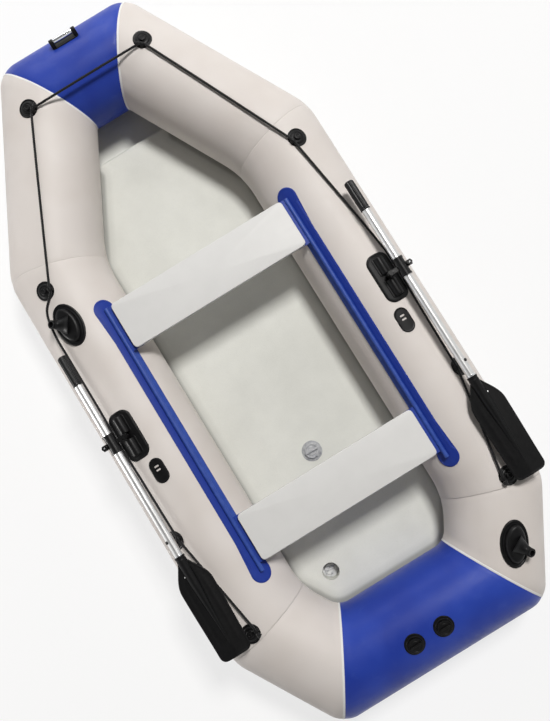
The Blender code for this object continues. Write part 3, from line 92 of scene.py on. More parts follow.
@dataclass
class Grid:
    """A closed surface as rows of points, each row a ring.

    Args:
        points: Array of rows by columns by three.
        loop: Whether the last row joins the first.
        first_pole: Point that closes the first row, or None on a loop.
        last_pole: Point that closes the last row, or None on a loop.
    """

    points: Array
    loop: bool = False
    first_pole: Optional[Array] = None
    last_pole: Optional[Array] = None

    def capped(self) -> "Grid":
        """The same surface with both ends closed by fans about their middles."""
        first, last = self.points[0].mean(axis=0), self.points[-1].mean(axis=0)
        return replace(self, first_pole=first, last_pole=last)

    def moved(self, matrix: Array) -> "Grid":
        """The surface put in place by a 4 by 4 matrix."""
        poles = (self.first_pole, self.last_pole)
        poles = [None if pole is None else transform(matrix, pole) for pole in poles]
        return Grid(transform(matrix, self.points), self.loop, *poles)

    def mirrored(self) -> "Grid":
        """The same surface on the other side of the boat."""
        return self.moved(np.diag([-1.0, 1.0, 1.0, 1.0]))

    def lengths(self) -> Array:
        """UV in metres: the mean distance down the rows, then along the columns.

        Returns:
            Array of (rows + 1) by (columns + 1) by two.
        """
        sums = []
        for axis in (0, 1):
            closed = np.concatenate([self.points, np.take(self.points, [0], axis=axis)], axis=axis)
            steps = np.linalg.norm(np.diff(closed, axis=axis), axis=2).mean(axis=1 - axis)
            sums.append(np.concatenate([[0.0], np.cumsum(steps)]))
        return np.stack(np.meshgrid(*sums, indexing="ij"), axis=2)

    def faces(self) -> tuple[Array, Array, Array, Array, Array]:
        """Points, quads and triangles of the surface, with the UV of their corners, facing outwards.

        The enclosed volume is the sum over triangles of a . (b x c) / 6, and where it comes out
        negative every face is turned round.

        Returns:
            Points, quads, quad UV, triangles and triangle UV.
        """
        rows, columns = self.points.shape[:2]
        points = self.points.reshape(-1, 3)
        uv = self.lengths()
        i, j = np.meshgrid(np.arange(rows if self.loop else rows - 1), np.arange(columns), indexing="ij")
        i, j = i.ravel(), j.ravel()
        below, beside = (i + 1) % rows, (j + 1) % columns
        quads = np.stack(
            [i * columns + j, below * columns + j, below * columns + beside, i * columns + beside], axis=1
        )
        quad_uv = np.stack([uv[i, j], uv[i + 1, j], uv[i + 1, j + 1], uv[i, j + 1]], axis=1)
        triangles, triangle_uv = np.zeros((0, 3), int), np.zeros((0, 3, 2))
        ring = np.arange(columns)
        for pole, row, order in ((self.first_pole, 0, 1), (self.last_pole, rows - 1, -1)):
            if pole is None:
                continue
            tip, start = np.full(columns, len(points)), row * columns
            points = np.concatenate([points, pole[None]])
            fan = np.stack([tip, start + ring, start + (ring + 1) % columns][::order], axis=1)
            middle = np.repeat(uv[row, :columns].mean(axis=0)[None], columns, axis=0)
            fan_uv = np.stack([middle, uv[row, :columns], uv[row, 1:]][::order], axis=1)
            triangles = np.concatenate([triangles, fan])
            triangle_uv = np.concatenate([triangle_uv, fan_uv])
        corners = np.concatenate([quads[:, [0, 1, 2]], quads[:, [0, 2, 3]], triangles])
        a, b, c = (points[corners[:, k]] - points.mean(axis=0) for k in range(3))
        if np.einsum("ij,ij->", a, np.cross(b, c)) < 0:
            quads, quad_uv = quads[:, ::-1], quad_uv[:, ::-1]
            triangles, triangle_uv = triangles[:, ::-1], triangle_uv[:, ::-1]
        return points, quads, quad_uv, triangles, triangle_uv


def transform(matrix: Array, points: Array) -> Array:
    """Points carried by a 4 by 4 matrix."""
    return points @ matrix[:3, :3].T + matrix[:3, 3]


def shift(x: float = 0.0, y: float = 0.0, z: float = 0.0) -> Array:
    """Matrix of a translation."""
    matrix = np.eye(4)
    matrix[:3, 3] = (x, y, z)
    return matrix


def turn(angle: float, axis: str) -> Array:
    """Matrix of a rotation about X, Y or Z, by the right-hand rule."""
    first, second = {"X": (1, 2), "Y": (2, 0), "Z": (0, 1)}[axis]
    matrix = np.eye(4)
    matrix[first, first] = matrix[second, second] = math.cos(angle)
    matrix[first, second], matrix[second, first] = -math.sin(angle), math.sin(angle)
    return matrix


def unit(vectors: Array) -> Array:
    """The same vectors, each of length 1."""
    return vectors / np.linalg.norm(vectors, axis=-1, keepdims=True)


def around(sides: int) -> Array:
    """Angles of one turn at even steps."""
    return np.arange(sides) * FULL_TURN / sides


def mm(*pairs: tuple[float, float]) -> Array:
    """Pairs of millimetres, in metres."""
    return np.array(pairs, float) * MM


def in_mm(*sizes: float) -> list[float]:
    """Sizes in metres, in millimetres."""
    return [size / MM for size in sizes]


def travelled(line: Array) -> Array:
    """Distance of each point of a line from its first, measured along it."""
    return np.concatenate([[0.0], np.cumsum(np.linalg.norm(np.diff(line, axis=0), axis=1))])


def read_at(wanted: Array, along: Array, line: Array) -> Array:
    """Points of a line at the wanted distances, where along are the distances of its own points."""
    return np.stack([np.interp(wanted, along, column) for column in line.T], axis=1)


def ease(low: float, high: float, value: Array) -> Array:
    """Smooth step from 0 at low to 1 at high: 3 t squared less 2 t cubed, t held between 0 and 1."""
    t = np.clip((value - low) / (high - low), 0.0, 1.0)
    return t * t * (3 - 2 * t)


def bump(middle: float, width: float, value: Array) -> Array:
    """A bell of height 1: e to the minus square of the distance from its middle over its width."""
    return np.exp(-(((value - middle) / width) ** 2))


def filleted(
    profile: Sequence[tuple[float, float]], radius: float, steps: int = 3, ring: bool = False
) -> Array:
    """A polyline whose corners are rounded by quadratic arcs.

    An arc from p to q past the corner c is (1 - t) squared p + 2 t (1 - t) c + t squared q.

    Args:
        profile: Corners of the line.
        radius: How far from its corner an arc starts, at most 0.45 of the side.
        steps: Number of segments in each arc.
        ring: Whether the line closes on itself.

    Returns:
        Array of points by two.
    """
    points = np.array(profile, float)
    before, after = np.roll(points, 1, axis=0), np.roll(points, -1, axis=0)
    parts = []
    t = np.linspace(0, 1, steps + 1)[:, None]
    for index, (last, here, following) in enumerate(zip(before, points, after)):
        if not ring and index in (0, len(points) - 1):
            parts.append(here[None])
            continue
        back, ahead = last - here, following - here
        p = here + back * min(radius / np.linalg.norm(back), 0.45)
        q = here + ahead * min(radius / np.linalg.norm(ahead), 0.45)
        parts.append((1 - t) ** 2 * p + 2 * t * (1 - t) * here + t**2 * q)
    return np.concatenate(parts)


def circle(radius: float, sides: int = 64) -> Array:
    """Points of a circle, anticlockwise."""
    return radius * np.stack([np.cos(around(sides)), np.sin(around(sides))], axis=1)


def rounded_ring(corners: Array, radii: Any, steps: int = 8) -> Array:
    """A closed polygon whose corners are arcs.

    Between the tangent points p and q past a corner c an arc is the rational curve
    ((1 - t) squared p + 2 w t (1 - t) c + t squared q) over the sum of its weights, where w is the
    sine of half the corner's angle.

    Args:
        corners: Points by two.
        radii: Radius of each corner, or one for all.
        steps: Segments in each arc.

    Returns:
        Array of points by two, in the polygon's own order.
    """
    to_last, to_next = (unit(np.roll(corners, step, axis=0) - corners) for step in (1, -1))
    half = np.arccos(np.clip((to_last * to_next).sum(axis=1), -1, 1)) / 2
    reach = (np.broadcast_to(radii, half.shape) / np.tan(half))[:, None]
    first, last = corners + to_last * reach, corners + to_next * reach
    t = np.linspace(0, 1, steps + 1)[None, :, None]
    weights = (1 - t) ** 2, 2 * np.sin(half)[:, None, None] * t * (1 - t), t**2
    parts = sum(weight * point[:, None] for weight, point in zip(weights, (first, corners, last)))
    return (parts / sum(weights)).reshape(-1, 2)


def round_oblong(length: float, width: float, radius: float, sides: int = 96) -> Array:
    """A rectangle with round corners, anticlockwise, with points at even distances.

    Args:
        length: Size along X.
        width: Size along Y.
        radius: Radius of the corners.
        sides: Number of points.

    Returns:
        Array of points by two.
    """
    corners = np.array([(1, 1), (-1, 1), (-1, -1), (1, -1)]) * (length / 2, width / 2)
    return evenly(rounded_ring(corners, min(radius, 0.4999 * width)), sides)


def evenly(outline: Array, count: int) -> Array:
    """A closed outline read again at even distances along it."""
    closed = np.concatenate([outline, outline[:1]])
    along = travelled(closed)
    return read_at(np.linspace(0, along[-1], count, endpoint=False), along, closed)


def inset(outline: Array, distance: float) -> Array:
    """An anticlockwise outline drawn in by a distance along its normals."""
    tangent = unit(np.roll(outline, -1, axis=0) - np.roll(outline, 1, axis=0))
    return outline - distance * np.stack([tangent[:, 1], -tangent[:, 0]], axis=1)


def stacked(rings: Array, heights: Array) -> Grid:
    """Flat rings of points, each at its own height, closed at both ends."""
    high = np.broadcast_to(heights[:, None, None], (*rings.shape[:2], 1))
    return Grid(np.concatenate([rings, high], axis=2)).capped()


def turned(profile: Array, matrix: Array, sides: int = 64, lobes: int = 0, depth: float = 0.0) -> Grid:
    """A profile of (radius, height) spun about Z.

    The radius may wave with the angle: r - depth / 2 (1 - cos(lobes angle)), fading out inwards over
    the outer tenth. A radius of nothing at either end closes the surface there.

    Args:
        profile: Array of points by two, from one end to the other.
        matrix: Place of the surface.
        sides: Number of columns.
        lobes: Number of waves round the rim.
        depth: Depth of the waves.

    Returns:
        The surface in its place.
    """
    profile = np.asarray(profile, float)
    ends = [profile[0], profile[-1]]
    closed = [end[0] < 1e-9 for end in ends]
    rows = profile[closed[0] : len(profile) - closed[1]]
    angle = around(sides)
    outer = ease(0.88, 0.97, rows[:, :1] / rows[:, 0].max())
    radius = rows[:, :1] - outer * depth / 2 * (1 - np.cos(lobes * angle))
    height = np.broadcast_to(rows[:, 1:], radius.shape)
    points = np.stack([radius * np.cos(angle), radius * np.sin(angle), height], axis=2)
    poles = [np.array([0.0, 0.0, end[1]]) if shut else None for end, shut in zip(ends, closed)]
    return Grid(points, not any(closed), *poles).moved(matrix)


def plate(outline: Array, thickness: float, edge: float, matrix: Array, steps: int = 3) -> Grid:
    """A flat piece on the XY plane with rounded edges.

    Rows follow the outline drawn in by edge (1 - sin a) while the height rises by edge (1 - cos a).

    Args:
        outline: Anticlockwise points by two.
        thickness: Height of the piece.
        edge: Radius of its edges.
        matrix: Place of the piece.
        steps: Segments in each rounded edge.

    Returns:
        The surface in its place.
    """
    angle = np.linspace(0, QUARTER_TURN, steps + 1)
    draw_in = edge * (1 - np.sin(angle))
    rise = edge * (1 - np.cos(angle))
    insets = np.concatenate([draw_in, draw_in[::-1]])
    heights = np.concatenate([rise, thickness - rise[::-1]])
    rings = np.stack([inset(outline, distance) for distance in insets])
    return stacked(rings, heights).moved(matrix)


def swept(path: Array, radius: Array, up: Array, sides: int) -> Grid:
    """A round section carried along a path.

    The section's axes are the cross products of the path's direction with up and with that side.

    Args:
        path: Points by three.
        radius: Radius, as points by sides or as points by one.
        up: A direction that the path never follows.
        sides: Number of columns.

    Returns:
        The surface with both ends closed.
    """
    tangent = unit(np.gradient(path, axis=0))
    side = unit(np.cross(tangent, up))
    top = np.cross(side, tangent)
    angle = around(sides)[None, :, None]
    reach = np.broadcast_to(radius, (len(path), sides))[:, :, None]
    spokes = side[:, None] * np.cos(angle) + top[:, None] * np.sin(angle)
    return Grid(path[:, None] + reach * spokes).capped()


def carried(profile: Array, path: Array, up: Array, sides: int = 64) -> Grid:
    """A profile of (radius, distance) carried along a curve.

    A point lies at the curve's own point at that distance plus the radius times (side cos a + top sin
    a), where side is the cross product of the curve's direction and up, and top is square to both.

    Args:
        profile: Array of points by two, from one end to the other, with a radius of nothing at both.
        path: Points of the curve by three.
        up: A direction that the curve never follows.
        sides: Number of columns.

    Returns:
        The closed surface.
    """
    tangent = np.gradient(path, axis=0)
    side = np.cross(tangent, up)
    lines = (path, side, np.cross(side, tangent))
    middle, side, top = (read_at(profile[:, 1], travelled(path), line) for line in lines)
    side, top = unit(side)[1:-1, None], unit(top)[1:-1, None]
    angle = around(sides)[None, :, None]
    points = middle[1:-1, None] + profile[1:-1, :1, None] * (side * np.cos(angle) + top * np.sin(angle))
    return Grid(points, False, middle[0], middle[-1])


def draped(
    skin: "Skin", outline: Array, rim: Sequence[tuple[float, float]], along: float, angle: float,
    yaw: float = 0.0, crown: Optional[Relief] = None, rings: int = 10,
) -> Grid:
    """A pad that lies on a tube and follows its skin.

    Its first rings are the outline drawn in by the rim's distances, at the rim's heights, and the
    rest shrink to the middle. A point at (x, y) on the pad lies at along + x, at angle + y over the
    tube's radius, and at the tube's radius + its height.

    Args:
        skin: The tube that it lies on.
        outline: Anticlockwise points by two, about the pad's middle.
        rim: Pairs of distance from the outline and height over the skin.
        along: Distance of the pad's middle from the section's forward end.
        angle: Angle of its middle from the top, outboard positive.
        yaw: Turn of the pad about its own normal.
        crown: Height to add at any x and y.
        rings: Number of rings inside the rim.

    Returns:
        The closed surface.
    """
    edge = np.stack([inset(outline, distance) for distance, _ in rim])
    shares = np.linspace(1, 0, rings + 2)[1:-1, None, None]
    upper = np.concatenate([edge, edge[-1] * shares])
    high = np.concatenate([[height for _, height in rim], np.full(rings, rim[-1][1])])
    high = np.broadcast_to(high[:, None], upper.shape[:2])
    if crown is not None:
        high = high + crown(upper[..., 0], upper[..., 1])
    lower = outline * np.linspace(0.1, 1, 8)[:, None, None]
    flat = np.concatenate([lower, upper])
    height = np.concatenate([np.full(lower.shape[:2], 0.3 * MM), high])
    x, y = flat[..., 0], flat[..., 1]
    turned_x = x * math.cos(yaw) - y * math.sin(yaw)
    turned_y = x * math.sin(yaw) + y * math.cos(yaw)
    return Grid(skin.on(along + turned_x, angle + turned_y / skin.radius, height)).capped()


def ridge(length: float, width: float, height: float, matrix: Array, edge: float) -> Grid:
    """A bar along X that stands on the frame's XY plane, with a half-round top and soft ends.

    Its section is a half circle on two upright sides. Towards an end it shrinks about its own
    middle by edge (1 - the root of 1 - t squared), with t from 0 to 1 over the last edge length.

    Args:
        length: Length along X.
        width: Width along Y.
        height: Height of its top.
        matrix: Place of the middle of its foot.
        edge: Radius of its ends' edges.

    Returns:
        The closed surface.
    """
    t = np.linspace(0, 1, 5)
    ends = length / 2 - edge * (1 - t)
    x = np.concatenate([-ends[::-1], ends])
    shrink = edge * (1 - np.sqrt(1 - t**2))
    shrink = np.concatenate([shrink[::-1], shrink])
    arc = np.linspace(0, math.pi, 25)
    top = np.stack([width / 2 * np.cos(arc), height - width / 2 + width / 2 * np.sin(arc)], axis=1)
    section = np.concatenate([[(width / 2, 0.0)], top, [(-width / 2, 0.0)], [(0.0, 0.0)]])
    middle = np.array([0.0, height / 2])
    scale = 1 - 2 * shrink[:, None, None] / width
    flat = middle + (section - middle) * scale
    across = np.broadcast_to(x[:, None, None], (*flat.shape[:2], 1))
    return Grid(np.concatenate([across, flat], axis=2)).capped().moved(matrix)


def aimed(start: Sequence[float], end: Sequence[float]) -> Array:
    """Frame at the start whose Z points to the end: its X is the cross product of Y and that."""
    way = unit(np.subtract(end, start))
    side = unit(np.cross((0.0, 1.0, 0.0), way))
    return framed(side, np.cross(way, side), way, start)


def framed(x: Array, y: Array, z: Array, place: Sequence[float]) -> Array:
    """Matrix of a frame with these axes at this place."""
    matrix = np.eye(4)
    matrix[:3] = np.stack([x, y, z, place], axis=1)
    return matrix


# Meshes in the scene


class Shade(Enum):
    """How a piece's edges are shaded: sharp where they are creased, or smooth all over."""

    CREASED = "creased"
    ROUND = "round"


def metric_mesh(name: str, grids: Sequence[Grid], shade: Shade) -> bpy.types.Mesh:
    """A mesh of one or more closed surfaces, with a UV map in metres.

    Args:
        name: Name of the mesh.
        grids: The surfaces.
        shade: How its edges are shaded.

    Returns:
        The mesh.
    """
    vertices, corners, sizes, uv = [], [], [], []
    start = 0
    for grid in grids:
        points, quads, quad_uv, triangles, triangle_uv = grid.faces()
        vertices.append(points)
        corners += [(quads + start).ravel(), (triangles + start).ravel()]
        sizes += [np.full(len(quads), 4), np.full(len(triangles), 3)]
        uv += [quad_uv.reshape(-1, 2), triangle_uv.reshape(-1, 2)]
        start += len(points)
    vertices, corners, sizes, uv = (np.concatenate(part) for part in (vertices, corners, sizes, uv))
    mesh = bpy.data.meshes.new(name)
    mesh.vertices.add(len(vertices))
    mesh.vertices.foreach_set("co", vertices.astype(np.float32).ravel())
    mesh.loops.add(len(corners))
    mesh.loops.foreach_set("vertex_index", corners.astype(np.int32))
    mesh.polygons.add(len(sizes))
    mesh.polygons.foreach_set("loop_start", np.concatenate([[0], np.cumsum(sizes)[:-1]]).astype(np.int32))
    mesh.update(calc_edges=True)
    layer = mesh.uv_layers.new(name="metres")
    layer.data.foreach_set("uv", uv.astype(np.float32).ravel())
    mesh.validate()
    mesh.shade_smooth()
    if shade is Shade.CREASED:
        mesh.set_sharp_from_angle(angle=CREASE)
    return mesh


def in_scene(mesh: bpy.types.Mesh) -> bpy.types.Object:
    """An object of the mesh's own name, linked to the scene."""
    made = bpy.data.objects.new(mesh.name, mesh)
    bpy.context.scene.collection.objects.link(made)
    return made


@dataclass(frozen=True)
class Fitter:
    """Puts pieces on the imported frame: each rides on a body and may stand for CAD nodes.
    """

    kit: dict[str, Any]

    def piece(
        self, name: str, grids: Sequence[Grid], finish: bpy.types.Material, body: str,
        stands_for: Sequence[str] = (), shade: Shade = Shade.CREASED,
    ) -> bpy.types.Object:
        """Makes a piece, dresses it and lets it ride.

        Args:
            name: Name of the piece.
            grids: Its closed surfaces.
            finish: Its material.
            body: The CAD body that it rides on.
            stands_for: CAD nodes that it replaces.
            shade: How its edges are shaded.

        Returns:
            The object.
        """
        made = in_scene(metric_mesh(name, grids, shade))
        return self.fitted(made, finish, body, stands_for)

    def fitted(
        self, made: bpy.types.Object, finish: bpy.types.Material, body: str, stands_for: Sequence[str] = ()
    ) -> bpy.types.Object:
        """Dresses an object that is already in place, and lets it ride."""
        made.data.materials.clear()
        made.data.materials.append(finish)
        if stands_for:
            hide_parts(*stands_for)
        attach(made, body)
        triangles = sum(len(face.vertices) - 2 for face in made.data.polygons)
        log.info("%s rides on %s, %d triangles", made.name, body, triangles)
        return made

    def dressed(self, node: str, finish: bpy.types.Material) -> None:
        """Gives a CAD node, whose own shape stays, a material."""
        mesh = self.kit["nodes"][node].data
        mesh.materials.clear()
        mesh.materials.append(finish)
        log.info("%s keeps its shape", node)

    def pair(
        self, name: str, grids: Sequence[Grid], finish: bpy.types.Material, body: str = "",
        node: str = "", shade: Shade = Shade.CREASED,
    ) -> list[bpy.types.Object]:
        """Makes a starboard piece and its mirror image, whose names start with their side.

        Args:
            name: Name of the piece, less its side.
            grids: The starboard piece's closed surfaces.
            finish: Its material.
            body: The CAD body that it rides on, less its side, or nothing for the hull.
            node: The CAD node that it replaces, less its side, or nothing.
            shade: How its edges are shaded.

        Returns:
            The two objects.
        """
        return [
            self.piece(
                f"{side}_{name}", sided(grids, side), finish, f"{side}_{body}" if body else "hull",
                [f"{side}_{node}"] if node else (), shade,
            )
            for side in SIDES
        ]

    def bored(self, made: bpy.types.Object, cutters: Sequence[Grid]) -> None:
        """Cuts holes into a piece.

        Args:
            made: The piece.
            cutters: Closed surfaces of the holes.
        """
        drill = in_scene(metric_mesh("drill", cutters, Shade.ROUND))
        holes = made.modifiers.new("Holes", "BOOLEAN")
        holes.operation, holes.solver, holes.object = "DIFFERENCE", "EXACT", drill
        mesh = bpy.data.meshes.new_from_object(made.evaluated_get(bpy.context.evaluated_depsgraph_get()))
        made.modifiers.remove(holes)
        old, name = made.data, made.data.name
        made.data = mesh
        bpy.data.meshes.remove(old)
        mesh.name = name
        bpy.data.objects.remove(drill)
        mesh.set_sharp_from_angle(angle=CREASE)

    def softened(self, node: str, name: str, finish: bpy.types.Material, body: str, width: float) -> None:
        """A merged copy of a CAD node with its edges rounded, which takes the node's place.

        Args:
            node: The CAD node.
            name: Name of the piece.
            finish: Its material.
            body: The CAD body that it rides on.
            width: Width of the rounding.
        """
        mesh = self.kit["nodes"][node].data.copy()
        mesh.name = name
        made = in_scene(mesh)
        work = bmesh.new()
        work.from_mesh(mesh)
        bmesh.ops.remove_doubles(work, verts=work.verts, dist=0.02 * MM)
        bmesh.ops.dissolve_limit(
            work, angle_limit=math.radians(0.6), verts=work.verts, edges=work.edges, delimit=set()
        )
        work.to_mesh(mesh)
        work.free()
        bevel = made.modifiers.new("Rounded edges", "BEVEL")
        bevel.width, bevel.segments = width, 2
        bevel.limit_method, bevel.angle_limit = "ANGLE", math.radians(30)
        bevel.harden_normals = bevel.use_clamp_overlap = True
        mesh.shade_smooth()
        mesh.set_sharp_from_angle(angle=math.radians(42))
        self.fitted(made, finish, body, (node,))


def sided(grids: Sequence[Grid], side: str) -> list[Grid]:
    """Starboard surfaces as they are, or mirrored for port."""
    return [grid.mirrored() if SIDES[side] < 0 else grid for grid in grids]


# Materials


def srgb(code: str) -> tuple[float, float, float, float]:
    """A hex colour turned to the linear values that a shader reads.

    Each channel c goes to ((c + 0.055) / 1.055) to the power 2.4, or c / 12.92 where it is dark.

    Args:
        code: Six hex digits after a hash.

    Returns:
        Red, green, blue and alpha.
    """
    channels = [int(code[start : start + 2], 16) / 255 for start in (1, 3, 5)]
    linear = [c / 12.92 if c <= 0.04045 else ((c + 0.055) / 1.055) ** 2.4 for c in channels]
    return (*linear, 1.0)


class Kind(Enum):
    """Kinds of node: Blender's name, the output that is read, and what is set on each of them."""

    PLACE = "ShaderNodeTexCoord", "Object", {}
    WAY = "ShaderNodeTexCoord", "Generated", {}
    ALONG_SURFACE = "ShaderNodeUVMap", "UV", {"uv_map": "metres"}
    FROM_RIM = "ShaderNodeAttribute", "Fac", {"attribute_name": RIM_DISTANCE}
    EDGES = "ShaderNodeNewGeometry", "Pointiness", {}
    CLOUDS = "ShaderNodeTexNoise", "Fac", {"Roughness": 0.55}
    CELLS = "ShaderNodeTexVoronoi", "Distance", {"feature": "DISTANCE_TO_EDGE"}
    THREADS = "ShaderNodeTexWave", "Fac", {"wave_profile": "SIN", "Distortion": 0.6, "Detail_Scale": 4.0}
    STRETCHED = "ShaderNodeMapping", 0, {}
    HEIGHT = "ShaderNodeSeparateXYZ", "Z", {}
    RAMP = "ShaderNodeValToRGB", "Color", {}
    MIXED = "ShaderNodeMix", 2, {"data_type": "RGBA"}
    DARKENED = "ShaderNodeMix", 2, {"data_type": "RGBA", "blend_type": "MULTIPLY", "at0": 1.0}
    PRODUCT = "ShaderNodeMath", 0, {"operation": "MULTIPLY"}
    LARGER = "ShaderNodeMath", 0, {"operation": "MAXIMUM"}
    RELIEF = "ShaderNodeBump", "Normal", {}
    CAMERA_RAY = "ShaderNodeLightPath", "Is Camera Ray", {}
    MIRROR_RAY = "ShaderNodeLightPath", "Is Glossy Ray", {}
    GLASS_RAY = "ShaderNodeLightPath", "Is Transmission Ray", {}
    MATT = "ShaderNodeBsdfDiffuse", 0, {}
    GLOW = "ShaderNodeEmission", 0, {}
    SKY = "ShaderNodeBackground", 0, {}
    EITHER = "ShaderNodeMixShader", 0, {}


def add_node(
    tree: bpy.types.NodeTree, kind: Kind, *stops: tuple[float, Any], **inputs: Any
) -> bpy.types.NodeSocket:
    """Adds a node with its settings, values and links.

    Args:
        tree: Node tree that gets it.
        kind: Its kind.
        stops: A ramp's stops: each a place, and a colour or a grey value.
        inputs: Properties by name, and values or output sockets by input name, with _ for a space.
            One that starts with "at" gives the input's number instead.

    Returns:
        The output that is read.
    """
    name, output, usual = kind.value
    node = tree.nodes.new(name)
    for key, value in {**usual, **inputs}.items():
        number = key[2:]
        if hasattr(node, key):
            setattr(node, key, value)
            continue
        socket = node.inputs[int(number)] if number.isdigit() else node.inputs[key.replace("_", " ")]
        if isinstance(value, bpy.types.NodeSocket):
            tree.links.new(value, socket)
        else:
            socket.default_value = value
    for _ in stops[2:]:
        node.color_ramp.elements.new(0.5)
    for number, (place, colour) in enumerate(stops):
        element = node.color_ramp.elements[number]
        element.position = place
        element.color = colour if isinstance(colour, tuple) else (colour, colour, colour, 1.0)
    return node.outputs[output]


@dataclass(frozen=True)
class Canvas:
    """A new material's tree and Principled shader, on which a finish lays its pattern.

    Args:
        tree: The material's node tree.
        shader: Its Principled shader.
        place: The object's own coordinates in metres.
    """

    tree: bpy.types.NodeTree
    shader: bpy.types.Node
    place: bpy.types.NodeSocket

    def add(self, kind: Kind, *stops: tuple[float, Any], **inputs: Any) -> bpy.types.NodeSocket:
        """Adds a node to this tree."""
        return add_node(self.tree, kind, *stops, **inputs)

    def coloured(self, colour: bpy.types.NodeSocket) -> None:
        """Gives the shader its colour."""
        self.tree.links.new(colour, self.shader.inputs["Base Color"])

    def glossed(
        self, factor: bpy.types.NodeSocket, low: float, high: float, less: float, more: float
    ) -> None:
        """Lets the roughness rise with a factor.

        Args:
            factor: What drives it.
            low: The factor where the roughness is that of the finish less a little.
            high: The factor where it is that of the finish and a little more.
            less: How much it falls.
            more: How much it rises.
        """
        rough = self.shader.inputs["Roughness"]
        middle = rough.default_value
        gloss = self.add(Kind.RAMP, (low, middle - less), (high, middle + more), Fac=factor)
        self.tree.links.new(gloss, rough)

    def raised(self, height: bpy.types.NodeSocket, depth: float, strength: float) -> None:
        """Lets a height of 0 to 1 raise the surface by up to the depth, over what raises it already."""
        normal = self.shader.inputs["Normal"]
        below = {"Normal": link.from_socket for link in normal.links}
        relief = self.add(Kind.RELIEF, Height=height, Distance=depth, Strength=strength, **below)
        self.tree.links.new(relief, normal)


@dataclass(frozen=True)
class Finish:
    """A real material with its surface. Its pattern is laid on by the subclasses.

    Args:
        name: What the material is and how its surface was made.
        slot: Material slot of the record.
        colour: Its colour as sRGB hex.
        second: A second colour that it varies to.
        roughness: How matt it is, from 0 to 1.
        ior: Index of refraction, or None for a metal.
        metallic: 1 for a metal.
        shine: Specular level, where 0.5 is that of its index of refraction.
    """

    name: str
    slot: str
    colour: str
    second: str
    roughness: float
    ior: Optional[float] = 1.5
    metallic: float = 0.0
    shine: float = 0.5

    def material(self) -> bpy.types.Material:
        """The finished material: a Principled shader with this finish's constants, and its pattern.

        Returns:
            The material.
        """
        material = bpy.data.materials.new(self.name)
        material["slot"] = self.slot
        material.use_nodes = True
        tree = material.node_tree
        shader = tree.nodes["Principled BSDF"]
        values = {"Roughness": self.roughness, "Metallic": self.metallic, "Specular IOR Level": self.shine}
        if self.ior is not None:
            values["IOR"] = self.ior
        for key, value in values.items():
            shader.inputs[key].default_value = value
        self.lay(Canvas(tree, shader, add_node(tree, Kind.PLACE)))
        return material

    def blend(
        self, on: Canvas, factor: bpy.types.NodeSocket, low: float, high: float
    ) -> bpy.types.NodeSocket:
        """A ramp from the finish's colour to its second one."""
        return on.add(Kind.RAMP, (low, srgb(self.colour)), (high, srgb(self.second)), Fac=factor)

    def lay(self, on: Canvas) -> None:
        """Lays the finish's pattern."""
        raise NotImplementedError


@dataclass(frozen=True)
class CoatedFabric(Finish):
    """Calendered PVC on polyester cloth, as air chambers are made of.

    The skin is satin. It shows the cloth's threads as a faint weave of 1.6 mm, which is coarser than
    the real 0.6 mm so that it shows, and soft waves where the air presses unevenly.

    Args:
        thread: Spacing of the weave in metres.
        weave: Depth of the weave in metres.
        dust: Colour of the dust and scuffs.
    """

    thread: float = 0.0016
    weave: float = 0.00006
    dust: str = "#D8D6D0"

    def lay(self, on: Canvas) -> None:
        """Broad tint, faint scuffs and dust in the colour, weave and waves in the bump."""
        broad, fine, fluff, waves = (
            on.add(Kind.CLOUDS, Vector=on.place, Scale=1 / size, Detail=detail)
            for size, detail in ((0.21, 2.0), (0.045, 6.0), (0.03, 4.0), (0.09, 1.0))
        )
        tint = self.blend(on, broad, 0.35, 0.68)
        scuffs = on.add(Kind.RAMP, (0.56, 0.0), (0.78, 0.16), Fac=fine)
        on.coloured(on.add(Kind.MIXED, at0=scuffs, at6=tint, at7=srgb(self.dust)))
        on.glossed(fluff, 0.3, 0.7, 0.06, 0.07)
        on.raised(waves, 0.0016, 0.5)
        inputs = {"Vector": on.add(Kind.ALONG_SURFACE), "Scale": math.pi / (10 * self.thread)}
        warp, weft = (on.add(Kind.THREADS, bands_direction=way, **inputs) for way in ("X", "Y"))
        on.raised(on.add(Kind.PRODUCT, at0=warp, at1=weft), self.weave, 0.6)


@dataclass(frozen=True)
class GrainedSheet(Finish):
    """Embossed PVC of an air floor: a fine leather-like grain on a satin skin.

    Args:
        grain: Size of a cell in metres.
    """

    grain: float = 0.0035

    def lay(self, on: Canvas) -> None:
        """Cells in the bump with painted shade in their grooves, patches of tread in the colour and the
        gloss, and painted shade along the tubes where they overhang the deck.
        """
        patches, fluff, waves = (
            on.add(Kind.CLOUDS, Vector=on.place, Scale=1 / size, Detail=detail)
            for size, detail in ((0.16, 5.0), (0.02, 4.0), (0.13, 1.0))
        )
        deck_tone = self.blend(on, patches, 0.34, 0.66)
        # Painted shade: the colour is at half up to 22 mm from the deck's edge, where the tubes overhang it,
        # and full again 60 mm in.
        tube_shade = on.add(Kind.RAMP, (0.022, 0.5), (0.034, 0.86), (0.060, 1.0), Fac=on.add(Kind.FROM_RIM))
        deck_tone = on.add(Kind.DARKENED, at6=deck_tone, at7=tube_shade)
        cells = on.add(Kind.CELLS, Vector=on.place, Scale=1 / self.grain)
        # Painted shade: the colour darkens by up to 7 % in the grooves between the cells.
        groove = on.add(Kind.RAMP, (0.0, 0.93), (0.12, 1.0), Fac=cells)
        on.coloured(on.add(Kind.DARKENED, at6=deck_tone, at7=groove))
        on.glossed(fluff, 0.3, 0.7, 0.05, 0.08)
        on.raised(waves, 0.0018, 0.45)
        on.raised(on.add(Kind.RAMP, (0.02, 0.0), (0.16, 1.0), Fac=cells), 0.00018, 0.6)


